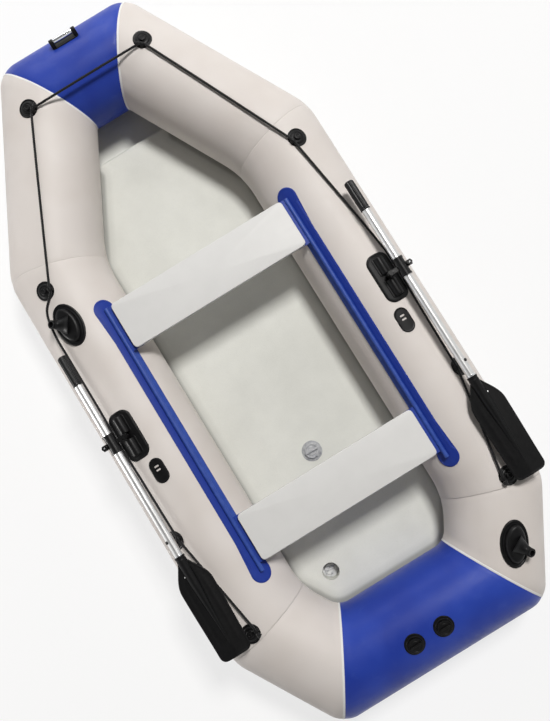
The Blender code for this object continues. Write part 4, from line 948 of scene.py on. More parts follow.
@dataclass(frozen=True)
class MouldedRubber(Finish):
    """Rubber or soft PVC pressed in a mould: matt, a little dusty, with a fine spark-eroded grain.

    Args:
        grain: Size of the grain in metres.
        depth: Depth of the grain in metres.
        bloom: How much of the second colour lies on it, from 0 to 1.
    """

    grain: float = 0.0012
    depth: float = 0.00012
    bloom: float = 0.5

    def lay(self, on: Canvas) -> None:
        """Dusty bloom in the colour, lighter towards sharp convex edges, grain in the bump."""
        dust, fluff, grain = (
            on.add(Kind.CLOUDS, Vector=on.place, Scale=1 / size, Detail=detail)
            for size, detail in ((0.022, 6.0), (0.008, 3.0), (self.grain, 2.0))
        )
        second = srgb(self.second)
        cloud = on.add(Kind.RAMP, (0.4, 0.0), (0.75, self.bloom), Fac=dust)
        tint = on.add(Kind.MIXED, at0=cloud, at6=srgb(self.colour), at7=second)
        # The colour turns towards the second colour on sharp convex edges.
        edge_tint = on.add(Kind.RAMP, (0.52, 0.0), (0.60, 0.35), Fac=on.add(Kind.EDGES))
        on.coloured(on.add(Kind.MIXED, at0=edge_tint, at6=tint, at7=second))
        on.glossed(fluff, 0.3, 0.7, 0.08, 0.08)
        on.raised(grain, self.depth, 0.5)


@dataclass(frozen=True)
class MottledPlastic(Finish):
    """Translucent PVC of the floor's valves, marbled by dirt in and under it.

    Args:
        blotch: Size of a blotch in metres.
        fleck: Colour of the darkest flecks.
    """

    blotch: float = 0.011
    fleck: str = "#8E9095"

    def lay(self, on: Canvas) -> None:
        """Two greys and a dark fleck, with a skin that lets a little light in."""
        on.shader.inputs["Subsurface Weight"].default_value = 0.25
        on.shader.inputs["Subsurface Radius"].default_value = (0.004, 0.004, 0.004)
        on.shader.inputs["Subsurface Scale"].default_value = 1.0
        stops = zip((0.3, 0.45, 0.7), map(srgb, (self.fleck, self.colour, self.second)))
        blotches, grain = (
            on.add(Kind.CLOUDS, Vector=on.place, Scale=1 / size, Detail=detail)
            for size, detail in ((self.blotch, 8.0), (0.002, 2.0))
        )
        on.coloured(on.add(Kind.RAMP, *stops, Fac=blotches))
        on.raised(grain, 0.0001, 0.5)


@dataclass(frozen=True)
class PaintedPly(Finish):
    """Birch plywood under white enamel: the brush and the veneer's grain still show a little."""

    def lay(self, on: Canvas) -> None:
        """Grain lines of 5 mm along X in the bump and the gloss, faint rubbed marks in the colour."""
        along = on.add(Kind.STRETCHED, Vector=on.place, Scale=(0.06, 1.0, 1.0))
        grain = on.add(Kind.CLOUDS, Vector=along, Scale=1 / 0.005, Detail=4.0)
        rubbed = on.add(Kind.CLOUDS, Vector=on.place, Scale=1 / 0.06, Detail=7.0)
        on.coloured(self.blend(on, rubbed, 0.42, 0.75))
        on.glossed(grain, 0.3, 0.7, 0.05, 0.08)
        on.raised(grain, 0.0003, 0.35)


@dataclass(frozen=True)
class DrawnMetal(Finish):
    """Bare metal drawn or polished along its length, with hairlines and dull handling marks.

    Args:
        line: Width of a hairline in metres.
        along: Which way the hairlines run, as scale factors of X, Y and Z.
    """

    line: float = 0.0012
    along: tuple[float, float, float] = (1.0, 0.03, 1.0)

    def lay(self, on: Canvas) -> None:
        """Hairlines in the gloss and the bump, dull patches in the gloss and the colour."""
        along = on.add(Kind.STRETCHED, Vector=on.place, Scale=self.along)
        lines = on.add(Kind.CLOUDS, Vector=along, Scale=1 / self.line, Detail=3.0)
        patches = on.add(Kind.CLOUDS, Vector=on.place, Scale=1 / 0.05, Detail=5.0)
        on.coloured(self.blend(on, patches, 0.35, 0.75))
        on.glossed(on.add(Kind.PRODUCT, at0=lines, at1=patches), 0.12, 0.5, 0.06, 0.16)
        on.raised(lines, 0.00004, 0.15)


@dataclass(frozen=True)
class LaidRope(Finish):
    """Polypropylene rope: the fibres run slantwise over each strand and shine a little along it.

    Args:
        fibre: Width of a fibre bundle in metres, drawn as 1 mm where the real one has 0.2 mm.
    """

    fibre: float = 0.001

    def lay(self, on: Canvas) -> None:
        """Fibres across the surface's own map, in the colour and the bump."""
        on.shader.inputs["Sheen Weight"].default_value = 0.25
        on.shader.inputs["Sheen Roughness"].default_value = 0.4
        surface = on.add(Kind.ALONG_SURFACE)
        slant = on.add(Kind.STRETCHED, Vector=surface, Rotation=(0, 0, 0.6), Scale=(0.25, 1, 1))
        fibres = on.add(Kind.CLOUDS, Vector=slant, Scale=1 / self.fibre, Detail=3.0)
        on.coloured(self.blend(on, fibres, 0.35, 0.72))
        on.raised(fibres, 0.0004, 0.7)


@dataclass(frozen=True)
class Finishes:
    """Every material of the boat, made once.

    The order is that in which the eye meets them: chambers, floor, rubber, plastics, wood, metals, rope.
    """

    blue_pvc: Finish = CoatedFabric(
        "Calendered blue PVC fabric", "blue_pvc", "#213A9C", "#2B47AE", 0.4, shine=0.26, dust="#4A60B2"
    )
    grey_pvc: Finish = CoatedFabric(
        "Calendered light grey PVC fabric", "light_grey_pvc", "#DED8D4", "#D8D1CC", 0.5, shine=0.3
    )
    seam_pvc: Finish = CoatedFabric(
        "Welded white PVC seam", "light_grey_pvc", "#F0F0EE", "#E7E7E6", 0.5, shine=0.3, weave=0.0
    )
    deck_pvc: Finish = GrainedSheet(
        "Embossed grey PVC deck", "floor_pvc", "#E2E3DD", "#DADBD5", 0.55, shine=0.25
    )
    sheet_pvc: Finish = CoatedFabric(
        "Calendered PVC bottom sheet", "floor_pvc", "#DCDDD8", "#D3D4CF", 0.5, shine=0.3
    )
    rail_rubber: Finish = MouldedRubber(
        "Extruded blue rubber", "blue_rail_rubber", "#1C3590", "#2C489E", 0.45, shine=0.24,
        grain=0.0015, bloom=0.25,
    )
    # A lighter copy of the rail's blue rubber: a painted highlight along the channel and its ribs.
    ribbed_rubber: Finish = MouldedRubber(
        "Ribbed blue rubber, rubbed pale", "blue_rail_rubber", "#2C489C", "#4763B4", 0.42, shine=0.28,
        grain=0.0015, bloom=0.4,
    )
    black_rubber: Finish = MouldedRubber(
        "Moulded black rubber", "black_rubber", "#060607", "#141415", 0.4, shine=0.19
    )
    black_plastic: Finish = MouldedRubber(
        "Moulded black polypropylene", "black_plastic", "#060607", "#131314", 0.34, shine=0.26,
        grain=0.0008, depth=0.00006, bloom=0.3,
    )
    blade_plastic: Finish = MouldedRubber(
        "Moulded black blade plastic", "black_plastic", "#070708", "#121213", 0.46, shine=0.16,
        grain=0.0016, depth=0.0001, bloom=0.4,
    )
    valve_plastic: Finish = MottledPlastic(
        "Marbled grey soft PVC", "grey_valve_plastic", "#A3A5A9", "#C2C3C5", 0.42
    )
    # The drain's copy of the marbled PVC is pale, and lightened further as painted light against the shade
    # in its well.
    drain_plastic: Finish = MottledPlastic(
        "Marbled pale soft PVC", "grey_valve_plastic", "#CBCCCF", "#E2E2E3", 0.42
    )
    painted_wood: Finish = PaintedPly(
        "White enamelled plywood", "white_seat_board", "#E0E0DF", "#DDDDDC", 0.45, shine=0.3
    )
    shaft_metal: Finish = DrawnMetal(
        "Bright drawn aluminium", "bright_aluminium", "#D3D3D2", "#C6C6C6", 0.36, None, 1.0
    )
    steel: Finish = DrawnMetal(
        "Polished stainless steel", "stainless_steel", "#DADBDD", "#C9CBCE", 0.16, None, 1.0,
        along=(0.05, 1.0, 1.0),
    )
    rope: Finish = LaidRope(
        "Laid black polypropylene rope", "black_rope", "#070708", "#1A1A1C", 0.62, shine=0.2
    )

    def made(self) -> SimpleNamespace:
        """The materials of these finishes, by the same names."""
        return SimpleNamespace(**{key: finish.material() for key, finish in vars(self).items()})


# Plan of the hull


class Section(IntEnum):
    """Sections of the hull, clockwise from above."""

    BOW = 0
    FORWARD = 1
    SIDE = 2
    QUARTER = 3
    STERN = 4


@dataclass(frozen=True)
class Skin:
    """A round tube of the hull as a surface to lie on.

    Args:
        matrix: X along the tube, Y outboard, Z up, from its forward corner.
        radius: Radius of the tube.
        length: Length between its corners.
        start_angle: Half the hull's turn at the forward corner, in radians.
        end_angle: Half the hull's turn at the aft corner.
    """

    matrix: Array
    radius: float
    length: float
    start_angle: float
    end_angle: float

    def on(self, along: Array, angle: Array, height: Array) -> Array:
        """Points on the skin: radius + height away from the axis, at the angle from the top."""
        reach = self.radius + height
        angle = np.broadcast_to(angle, np.broadcast(along, angle, height).shape)
        flat = np.broadcast_arrays(along, reach * np.sin(angle), reach * np.cos(angle))
        return transform(self.matrix, np.stack(flat, axis=-1))

    def station(self, along: float, angle: float, height: float = 0.0, yaw: float = 0.0) -> Array:
        """Frame on the skin: X along the tube, Z outwards, turned by the yaw."""
        lean = turn(-angle, "X") @ shift(z=self.radius + height)
        return self.matrix @ shift(x=along) @ lean @ turn(yaw, "Z")


@dataclass(frozen=True)
class HullPlan:
    """Plan of the hull's tubes.

    Args:
        length: Overall length.
        beam: Overall width.
        tube: Diameter of the tubes.
        bow_width: Width between the bow corners' axes.
        stern_width: Width between the stern corners' axes.
        shoulder: Distance of the shoulder from the bow's axis.
        quarter: Distance of the quarter from the stern's axis.
    """

    length: float = 2.700
    beam: float = 1.304
    tube: float = 0.348
    bow_width: float = 0.348
    stern_width: float = 0.644
    shoulder: float = 0.590
    quarter: float = 0.262

    @property
    def radius(self) -> float:
        """Radius of the tubes."""
        return self.tube / 2

    def corners(self) -> Array:
        """Corners of the axis, clockwise from above, from the port bow corner on."""
        side_x, bow_y = self.beam / 2 - self.radius, self.length / 2 - self.radius
        shoulder, quarter = (side_x, bow_y - self.shoulder), (side_x, self.quarter - bow_y)
        half = np.array([(self.bow_width / 2, bow_y), shoulder, quarter, (self.stern_width / 2, -bow_y)])
        port = half[::-1] * (-1, 1)
        return np.concatenate([port[-1:], half, port[:-1]])

    def inner(self, distance: float) -> Array:
        """The axis drawn in by a distance: each corner less (n1 + n2) / (1 + n1 . n2) of it.

        Args:
            distance: How far in.

        Returns:
            The eight corners, in the same order.
        """
        ring = self.corners()
        run = unit(np.roll(ring, -1, axis=0) - ring)
        after = np.stack([-run[:, 1], run[:, 0]], axis=1)
        before = np.roll(after, 1, axis=0)
        spread = 1 + (before * after).sum(axis=1)[:, None]
        return ring - distance * (before + after) / spread

    def skin(self, section: Section) -> Skin:
        """The starboard tube of a section: from its forward corner, with half the turn at each end."""
        before, here, after, beyond = np.roll(self.corners(), 1 - section, axis=0)[:4]
        run = after - here
        along = unit(run)
        turns = []
        for first, second in ((here - before, run), (run, beyond - after)):
            cross = first[0] * second[1] - first[1] * second[0]
            turns.append(abs(math.atan2(cross, first @ second)) / 2)
        matrix = np.eye(4)
        matrix[:2, 0] = along
        matrix[:2, 1] = (-along[1], along[0])
        matrix[:3, 3] = (*here, self.radius)
        return Skin(matrix, self.radius, float(np.linalg.norm(run)), *turns)


@dataclass
class Assembly:
    """What the builder of every sub-assembly of the boat needs.

    Args:
        plan: The hull's plan.
        fitter: Puts pieces on the frame.
        wardrobe: The materials.
    """

    plan: HullPlan
    fitter: Fitter
    wardrobe: SimpleNamespace

    def build(self) -> None:
        """Makes the pieces of the sub-assembly."""
        raise NotImplementedError


# Chambers


@dataclass
class Hull(Assembly):
    """The eight inflated tubes and the seams where they meet.

    Args:
        seam_gap: Gap between two tubes at a mitre.
        corner_reach: How far from a mitre the fabric draws in on the outer side.
        fill: Twice the height by which it swells at a mitre on the inner side.
        bow_fill: The same at the two bow corners, which stay sharp.
        dip: How much a tube narrows at its seams.
        dip_reach: How far from a seam it narrows.
        pucker: Depth of the creases that a seam draws in the fabric.
        pucker_width: Distance between two creases.
        seam_width: Width of the white seam between blue and grey.
        seam_rise: How far that seam stands off the fabric.
        rows: Rows of a tube's grid.
        columns: Columns of it.
        even_share: How evenly the rows are spaced, from 0, crowded at the ends, to 1.
        crease_reach: How far the creases run along the tube.
        crease_start: How far from a seam they have come up.
        end_shares: Sizes of the two rings on a tube's end face.
    """

    seam_gap: float = 0.0001
    corner_reach: float = 0.050
    fill: float = 0.021
    bow_fill: float = 0.004
    dip: float = 0.0010
    dip_reach: float = 0.009
    pucker: float = 0.0009
    pucker_width: float = 0.034
    seam_width: float = 0.009
    seam_rise: float = 0.0007
    rows: int = 150
    columns: int = 128
    even_share: float = 0.45
    crease_reach: float = 0.05
    crease_start: float = 0.008
    end_shares: tuple[float, float] = (0.97, 0.5)

    def drawn_in(self, half_turn: float, angle: Array, near: Array, fill: float) -> Array:
        """How the fabric rounds a corner of the hull.

        Outboard of the tube's crest, within the reach T of the mitre, it lies in by (T - distance)
        squared, times the tangent of half the turn, over 2 T, and that grows with the sine of the
        angle from the top. Inboard it swells by the same formula, with T the fill over that tangent.

        Args:
            half_turn: Half the hull's turn at the mitre.
            angle: Angle from the tube's top, outboard positive.
            near: Distance from the mitre.
            fill: The fill of that corner.

        Returns:
            Height to add.
        """
        slope = math.tan(half_turn)
        reach, inner = self.corner_reach, fill / slope
        outboard = np.clip(np.sin(angle), 0, 1) * np.clip(reach - near, 0, reach) ** 2 / (2 * reach)
        inboard = np.clip(-np.sin(angle), 0, 1) ** 2 * np.clip(inner - near, 0, inner) ** 2 / (2 * inner)
        return slope * (inboard - outboard)

    def mitre(self, skin: Skin, angle: Array, height: Array, at_start: bool) -> Array:
        """Where a tube's mitre lies along it: outboard times the tangent of half the turn."""
        outboard = (skin.radius + height) * np.sin(angle)
        if at_start:
            return self.seam_gap / 2 - outboard * math.tan(skin.start_angle)
        return skin.length - self.seam_gap / 2 + outboard * math.tan(skin.end_angle)

    def fabric(self, skin: Skin, seed: int, fills: tuple[float, float]) -> Grid:
        """A tube between two mitres.

        It is a cylinder whose radius dips by e to the minus square of the distance from a seam, and
        waves there with creases across the seam that fade out along the tube.

        Args:
            skin: The tube.
            seed: Gives each tube its own creases.
            fills: The fills of its forward and its aft corner.

        Returns:
            The closed surface.
        """
        share = (1 - np.cos(np.linspace(0, math.pi, self.rows))) / 2
        share = (1 - self.even_share) * share + self.even_share * np.linspace(0, 1, self.rows)
        angle, share = np.meshgrid(around(self.columns), share)
        flat = np.zeros_like(angle)
        turns = (skin.start_angle, skin.end_angle)
        start, end = (
            self.mitre(skin, angle, self.drawn_in(half_turn, angle, flat, fill) - self.dip, at_start)
            for half_turn, fill, at_start in zip(turns, fills, (True, False))
        )
        along = start + (end - start) * share
        near = np.minimum(along - start, end - along)
        count = round(FULL_TURN * skin.radius / self.pucker_width)
        creases = np.sin(count * angle + seed) * np.sin((count // 3) * angle + 2.3 * seed)
        height = self.pucker * (creases - 1) / 2 * np.exp(-near / self.crease_reach)
        height = height * (1 - np.exp(-near / self.crease_start)) - self.dip * bump(0, self.dip_reach, near)
        for half_turn, fill, away in zip(turns, fills, (along - start, end - along)):
            height = height + self.drawn_in(half_turn, angle, away, fill)
        points = skin.on(along, angle, height)
        shares = np.array(self.end_shares)[:, None, None]
        first, last = (transform(skin.matrix, np.array([y, 0.0, 0.0])) for y in (0.0, skin.length))
        front = (first + (points[:1] - first) * shares)[::-1]
        return Grid(np.concatenate([front, points, last + (points[-1:] - last) * shares])).capped()

    def seam(self, skin: Skin, at_start: bool) -> Grid:
        """A band round a mitre, on the side of the given tube: a low arch across its width.

        Args:
            skin: The tube that carries it.
            at_start: Whether it is at the tube's forward end.

        Returns:
            The closed ring.
        """
        across = np.array([-1.0, -0.9, -0.5, 0.0, 0.5, 0.9, 1.0, 0.5, 0.0, -0.5])
        rise = np.array([0.0, 0.75, 1.0, 1.05, 1.0, 0.75, 0.0, -0.8, -0.8, -0.8]) * self.seam_rise
        angle, across = np.meshgrid(around(self.columns), across)
        inward = self.seam_width / 2 * across + self.seam_width * 0.42
        half_turn = skin.start_angle if at_start else skin.end_angle
        height = np.broadcast_to(rise[:, None], angle.shape) - self.dip * 0.8
        fill = self.bow_fill if at_start else self.fill
        height = height + self.drawn_in(half_turn, angle, np.maximum(inward, 0), fill)
        sign = 1 if at_start else -1
        along = self.mitre(skin, angle, height, at_start) + sign * inward
        return Grid(skin.on(along, angle, height), loop=True)

    def build(self) -> None:
        """All eight tubes, the four seams between blue and grey, and the baffles that stay inside."""
        plan, fitter, wardrobe = self.plan, self.fitter, self.wardrobe
        seed = 1
        for section, fill in ((Section.BOW, self.bow_fill), (Section.STERN, self.fill)):
            name = section.name.lower()
            tube = self.fabric(plan.skin(section), seed, (fill, fill))
            fitter.piece(f"{name}_chamber", [tube], wardrobe.blue_pvc, "hull", [f"{name}_tube"], Shade.ROUND)
            fitter.dressed(f"{name}_baffle", wardrobe.grey_pvc)
            seed += 1
        for section in (Section.FORWARD, Section.SIDE, Section.QUARTER):
            skin, name = plan.skin(section), section.name.lower()
            fills = (self.bow_fill if section is Section.FORWARD else self.fill, self.fill)
            for side in SIDES:
                tube = sided([self.fabric(skin, seed, fills)], side)
                nodes = [f"{side}_{name}_tube"]
                fitter.piece(f"{side}_{name}_chamber", tube, wardrobe.grey_pvc, "hull", nodes, Shade.ROUND)
                seed += 1
        for section, at_start, name in ((Section.FORWARD, True, "bow"), (Section.QUARTER, False, "stern")):
            band = self.seam(plan.skin(section), at_start)
            fitter.pair(f"{name}_seam", [band], wardrobe.seam_pvc, shade=Shade.ROUND)


# Floor


@dataclass
class ScrewCap:
    """A lobed cap with a finger bar on top and a plug below.

    Args:
        radius: Radius over the lobes.
        plug: Radius of the plug.
        thickness: Thickness of the cap.
        lobes: Number of lobes.
        lobe_depth: Depth between two lobes.
        bar_width: Width of the finger bar.
        bar_height: Height of the finger bar.
        plug_depth: Depth of the plug.
    """

    radius: float
    plug: float
    thickness: float = 0.007
    lobes: int = 10
    lobe_depth: float = 0.0012
    bar_width: float = 0.006
    bar_height: float = 0.005
    plug_depth: float = 0.009

    def grids(self, matrix: Array) -> list[Grid]:
        """Cap with a raised ring and a dished middle, and its bar.

        Args:
            matrix: Place of the cap's foot, Z up.

        Returns:
            The surfaces.
        """
        rim, plug, top, deep = in_mm(self.radius, self.plug, self.thickness, self.plug_depth)
        profile = mm(
            (0, -deep), (plug, -deep), (plug, 0), (rim, 0), (rim, top), (rim * 0.84, top),
            (rim * 0.80, top - 1.2), (rim * 0.62, top - 1.2), (rim * 0.58, top - 0.4), (0, top - 0.4),
        )
        cap = turned(filleted(profile, 1.1 * MM), matrix, 120, self.lobes, self.lobe_depth)
        outline = round_oblong(2 * (self.radius - self.bar_width), self.bar_width, self.bar_width / 2, 64)
        place = matrix @ shift(z=self.thickness - MM)
        return [cap, plate(outline, self.bar_height + MM, 1.3 * MM, place)]


@dataclass
class Floor(Assembly):
    """The air deck, the bottom sheet, the drain and the deck's valve.

    Args:
        deck_front: Distance of the deck's front edge from the bow.
        deck_inset: Distance of the deck's edge from the tubes' axis.
        deck_under: Height of its underside.
        deck_thickness: Its thickness.
        deck_edge: Radius of its edges.
        front_radius: Radius of its front corners.
        aft_radius: Radius of its other corners.
        fall: How much its top falls towards the rim.
        sheet_inset: Distance of the sheet's edge from the tubes' axis.
        sheet_under: Height of the sheet's underside.
        sheet_thickness: Thickness of the sheet.
        ripple: Height of the sheet's ripples, and the numbers of their two waves round the edge.
        drain: X and Y of the drain.
        drain_flange: Radius of its flange.
        drain_throat: Radius of its throat.
        drain_well: Radius of the hole through the deck.
        drain_cap: Radius of its cap.
        valve: X and Y of the deck's valve.
        valve_flange: Radius of its flange.
        valve_throat: Radius of its throat.
        valve_collar: Height of its collar.
        valve_barrel: Radius of its barrel.
        valve_cap: Radius of its cap.
    """

    deck_front: float = 0.445
    deck_inset: float = 0.1433
    deck_under: float = 0.0112
    deck_thickness: float = 0.060
    deck_edge: float = 0.012
    front_radius: float = 0.030
    aft_radius: float = 0.100
    fall: float = 0.0022
    sheet_inset: float = 0.0612
    sheet_under: float = 0.010
    sheet_thickness: float = 0.0009
    ripple: tuple[float, int, int] = (0.006, 37, 11)
    drain: tuple[float, float] = (-0.191, -0.898)
    drain_flange: float = 0.0307
    drain_throat: float = 0.015
    drain_well: float = 0.0325
    drain_cap: float = 0.022
    valve: tuple[float, float] = (-0.016, -0.478)
    valve_flange: float = 0.039
    valve_throat: float = 0.014
    valve_collar: float = 0.006
    valve_barrel: float = 0.023
    valve_cap: float = 0.028

    @property
    def deck_top(self) -> float:
        """Height of the deck's top."""
        return self.deck_under + self.deck_thickness

    @property
    def sheet_top(self) -> float:
        """Height of the sheet's top."""
        return self.sheet_under + self.sheet_thickness

    def deck_outline(self) -> Array:
        """Outline of the deck, anticlockwise, with points at even distances."""
        ring = self.plan.inner(self.deck_inset)
        front = self.plan.length / 2 - self.deck_front
        share = (front - ring[1, 1]) / (ring[2, 1] - ring[1, 1])
        starboard = np.array([ring[1] + (ring[2] - ring[1]) * share, ring[2], ring[3], ring[4]])
        corners = np.concatenate([starboard[::-1], starboard * (-1, 1)])
        radii = [self.aft_radius] * 3 + [self.front_radius]
        return evenly(rounded_ring(corners, radii + radii[::-1]), 420)

    def deck(self) -> Grid:
        """The air deck: a rounded edge, and a top that falls by the sixth power of the way to the rim."""
        outline = self.deck_outline()
        angle = np.linspace(-QUARTER_TURN, QUARTER_TURN, 13)
        draw_in = self.deck_edge * (1 - np.cos(angle))
        half = self.deck_thickness / 2
        rise = half + np.where(angle < 0, -1, 1) * (half - self.deck_edge) + self.deck_edge * np.sin(angle)
        rise = rise - self.fall * ease(half, 2 * half, rise)
        share = 1 - np.linspace(0, 1, 26)[1:-1] ** 1.4
        core = inset(outline, self.deck_edge)
        rim = np.stack([inset(outline, distance) for distance in draw_in])
        flat = np.concatenate([core * share[::-6, None, None], rim, core * share[:, None, None]])
        top = 2 * half - self.fall * share**6
        high = np.concatenate([np.zeros(len(share[::-6])), rise, top])
        return stacked(flat, high + self.deck_under)

    def measure_rim(self, deck: bpy.types.Object) -> None:
        """Writes each point's distance from the deck's edge as an attribute for the painted shade along the
        tubes.

        The front edge and the 40 mm behind it are left out, because that edge meets no tube.

        Args:
            deck: The deck.
        """
        points = np.empty(3 * len(deck.data.vertices), np.float32)
        deck.data.vertices.foreach_get("co", points)
        edge = self.deck_outline()
        edge = edge[edge[:, 1] < self.plan.length / 2 - self.deck_front - 40 * MM]
        away = np.linalg.norm(points.reshape(-1, 3)[:, None, :2] - edge[None], axis=2).min(axis=1)
        layer = deck.data.attributes.new(RIM_DISTANCE, "FLOAT", "POINT")
        layer.data.foreach_set("value", away.astype(np.float32))

    def sheet(self) -> Grid:
        """The bottom sheet, with ripples along its edge: sines round it that fade towards the middle."""
        ring = self.plan.inner(self.sheet_inset)[::-1]
        outline = evenly(rounded_ring(ring, 0.01, 3), 360)
        share = np.linspace(0.02, 1, 24)[:, None]
        angle = around(len(outline))
        height, first, second = self.ripple
        wave = height * np.sin(first * angle) * np.sin(second * angle + 1.0) * share**8 * (1 - share)
        flat = outline[None] * share[:, :, None]
        low = np.concatenate([flat, (self.sheet_under + wave)[..., None]], axis=2)
        high = low[::-1] + (0.0, 0.0, self.sheet_thickness)
        return Grid(np.concatenate([low, high])).capped()

    def hole(self, place: tuple[float, float], radius: float) -> Grid:
        """A round cutter through deck or sheet."""
        low, high = -0.02, 0.12
        return turned([(0, low), (radius, low), (radius, high), (0, high)], shift(*place), 72)

    def drain_bush(self) -> Grid:
        """Flange with a pale raised rim, and the bush through the sheet."""
        rim, bore = in_mm(self.drain_flange, self.drain_throat)
        profile = mm(
            (rim, 0.3), (rim, 3.4), (rim - 2.6, 3.4), (rim - 3.4, 2.8), (bore, 2.8), (bore, -1.2),
            (bore + 2.5, -1.2), (bore + 2.5, 0.3),
        )
        return turned(filleted(profile, 0.5 * MM, 2, True), shift(*self.drain, self.sheet_top), 96)

    def valve_body(self) -> Grid:
        """Flange with a stepped collar, and the barrel through the deck's skin."""
        rim, bore, top = in_mm(self.valve_flange, self.valve_throat, self.valve_collar)
        barrel = self.valve_barrel / MM
        profile = mm(
            (rim, 0.3), (rim, 1.6), (rim - 1.5, 2.8), (rim - 5.5, 2.8), (rim - 8, top), (bore, top),
            (bore, -30), (barrel, -30), (barrel, 0.3),
        )
        return turned(filleted(profile, 0.7 * MM, 2, True), shift(*self.valve, self.deck_top), 96)

    def build(self) -> None:
        """Deck, sheet, drain and valve."""
        fitter, wardrobe = self.fitter, self.wardrobe
        # pale is the drain's marbled PVC, lightened further as painted light against the shade in its well.
        grey, pale = wardrobe.valve_plastic, wardrobe.drain_plastic
        deck = fitter.piece("air_deck", [self.deck()], wardrobe.deck_pvc, "hull", ["air_deck_floor"])
        wells = [(self.drain, self.drain_well), (self.valve, self.valve_barrel + 0.3 * MM)]
        fitter.bored(deck, [self.hole(*well) for well in wells])
        self.measure_rim(deck)
        sheet = fitter.piece("hull_bottom", [self.sheet()], wardrobe.sheet_pvc, "hull", ["bottom_sheet"])
        fitter.bored(sheet, [self.hole(self.drain, self.drain_throat + 2.8 * MM)])
        fitter.piece("drain_bush", [self.drain_bush()], pale, "hull", ["drain_seat"])
        fitter.piece("floor_valve", [self.valve_body()], grey, "hull", ["floor_valve_body"])
        plug = ScrewCap(self.drain_cap, self.drain_throat - 0.3 * MM)
        foot = shift(*self.drain, self.sheet_top + 3.1 * MM)
        fitter.piece("drain_cap", plug.grids(foot), pale, "plug", ["drain_plug"])
        cap = ScrewCap(self.valve_cap, self.valve_throat - 0.3 * MM)
        foot = shift(*self.valve, self.deck_top + self.valve_collar + 0.3 * MM)
        fitter.piece("floor_valve_lid", cap.grids(foot), grey, "floor_cap", ["floor_valve_cap"])


@dataclass
class SternValves(Assembly):
    """The two inflation valves on the stern tube.

    Args:
        spacing: Distance between them.
        angle: Their angle from the top.
        flange: Radius of the flange.
        throat: Radius of the throat.
        collar: Height of the flat collar.
        cap: Radius of the cap.
        levelled: Radius at which the collar's levelling starts, and radius at which it is full.
    """

    spacing: float = 0.115
    angle: float = math.radians(7.5)
    flange: float = 0.037
    throat: float = 0.012
    collar: float = 0.007
    cap: float = 0.025
    levelled: tuple[float, float] = (0.031, 0.029)

    def level(self, x: Array, y: Array) -> Array:
        """Height that makes the collar flat on the curved skin: y squared over twice the radius."""
        inside = ease(*self.levelled, np.hypot(x, y))
        return inside * y**2 / (2 * self.plan.radius)

    def build(self) -> None:
        """Flange with rings, and the cap, on each side."""
        skin = self.plan.skin(Section.STERN)
        along = skin.length / 2 - self.spacing / 2
        top, wide = in_mm(self.collar, self.flange)
        rim = mm(
            (0, 0.8), (0.8, 2.3), (2.4, 2.8), (4, 2.3), (5.6, 2.3), (6.8, 3.2), (8, 6.2), (9, top),
            (wide - 2, top),
        )
        body = draped(skin, circle(self.flange, 96), rim, along, self.angle, crown=self.level, rings=2)
        lid = ScrewCap(self.cap, self.throat - 0.3 * MM, plug_depth=0.004)
        place = skin.station(along, self.angle, self.collar + 0.3 * MM)
        fitter, rubber = self.fitter, self.wardrobe.black_rubber
        fitter.pair("valve_flange", [body], rubber, node="stern_valve_body")
        fitter.pair("valve_lid", lid.grids(place), rubber, "valve_cap", "stern_valve_cap")


# Seats and their rails


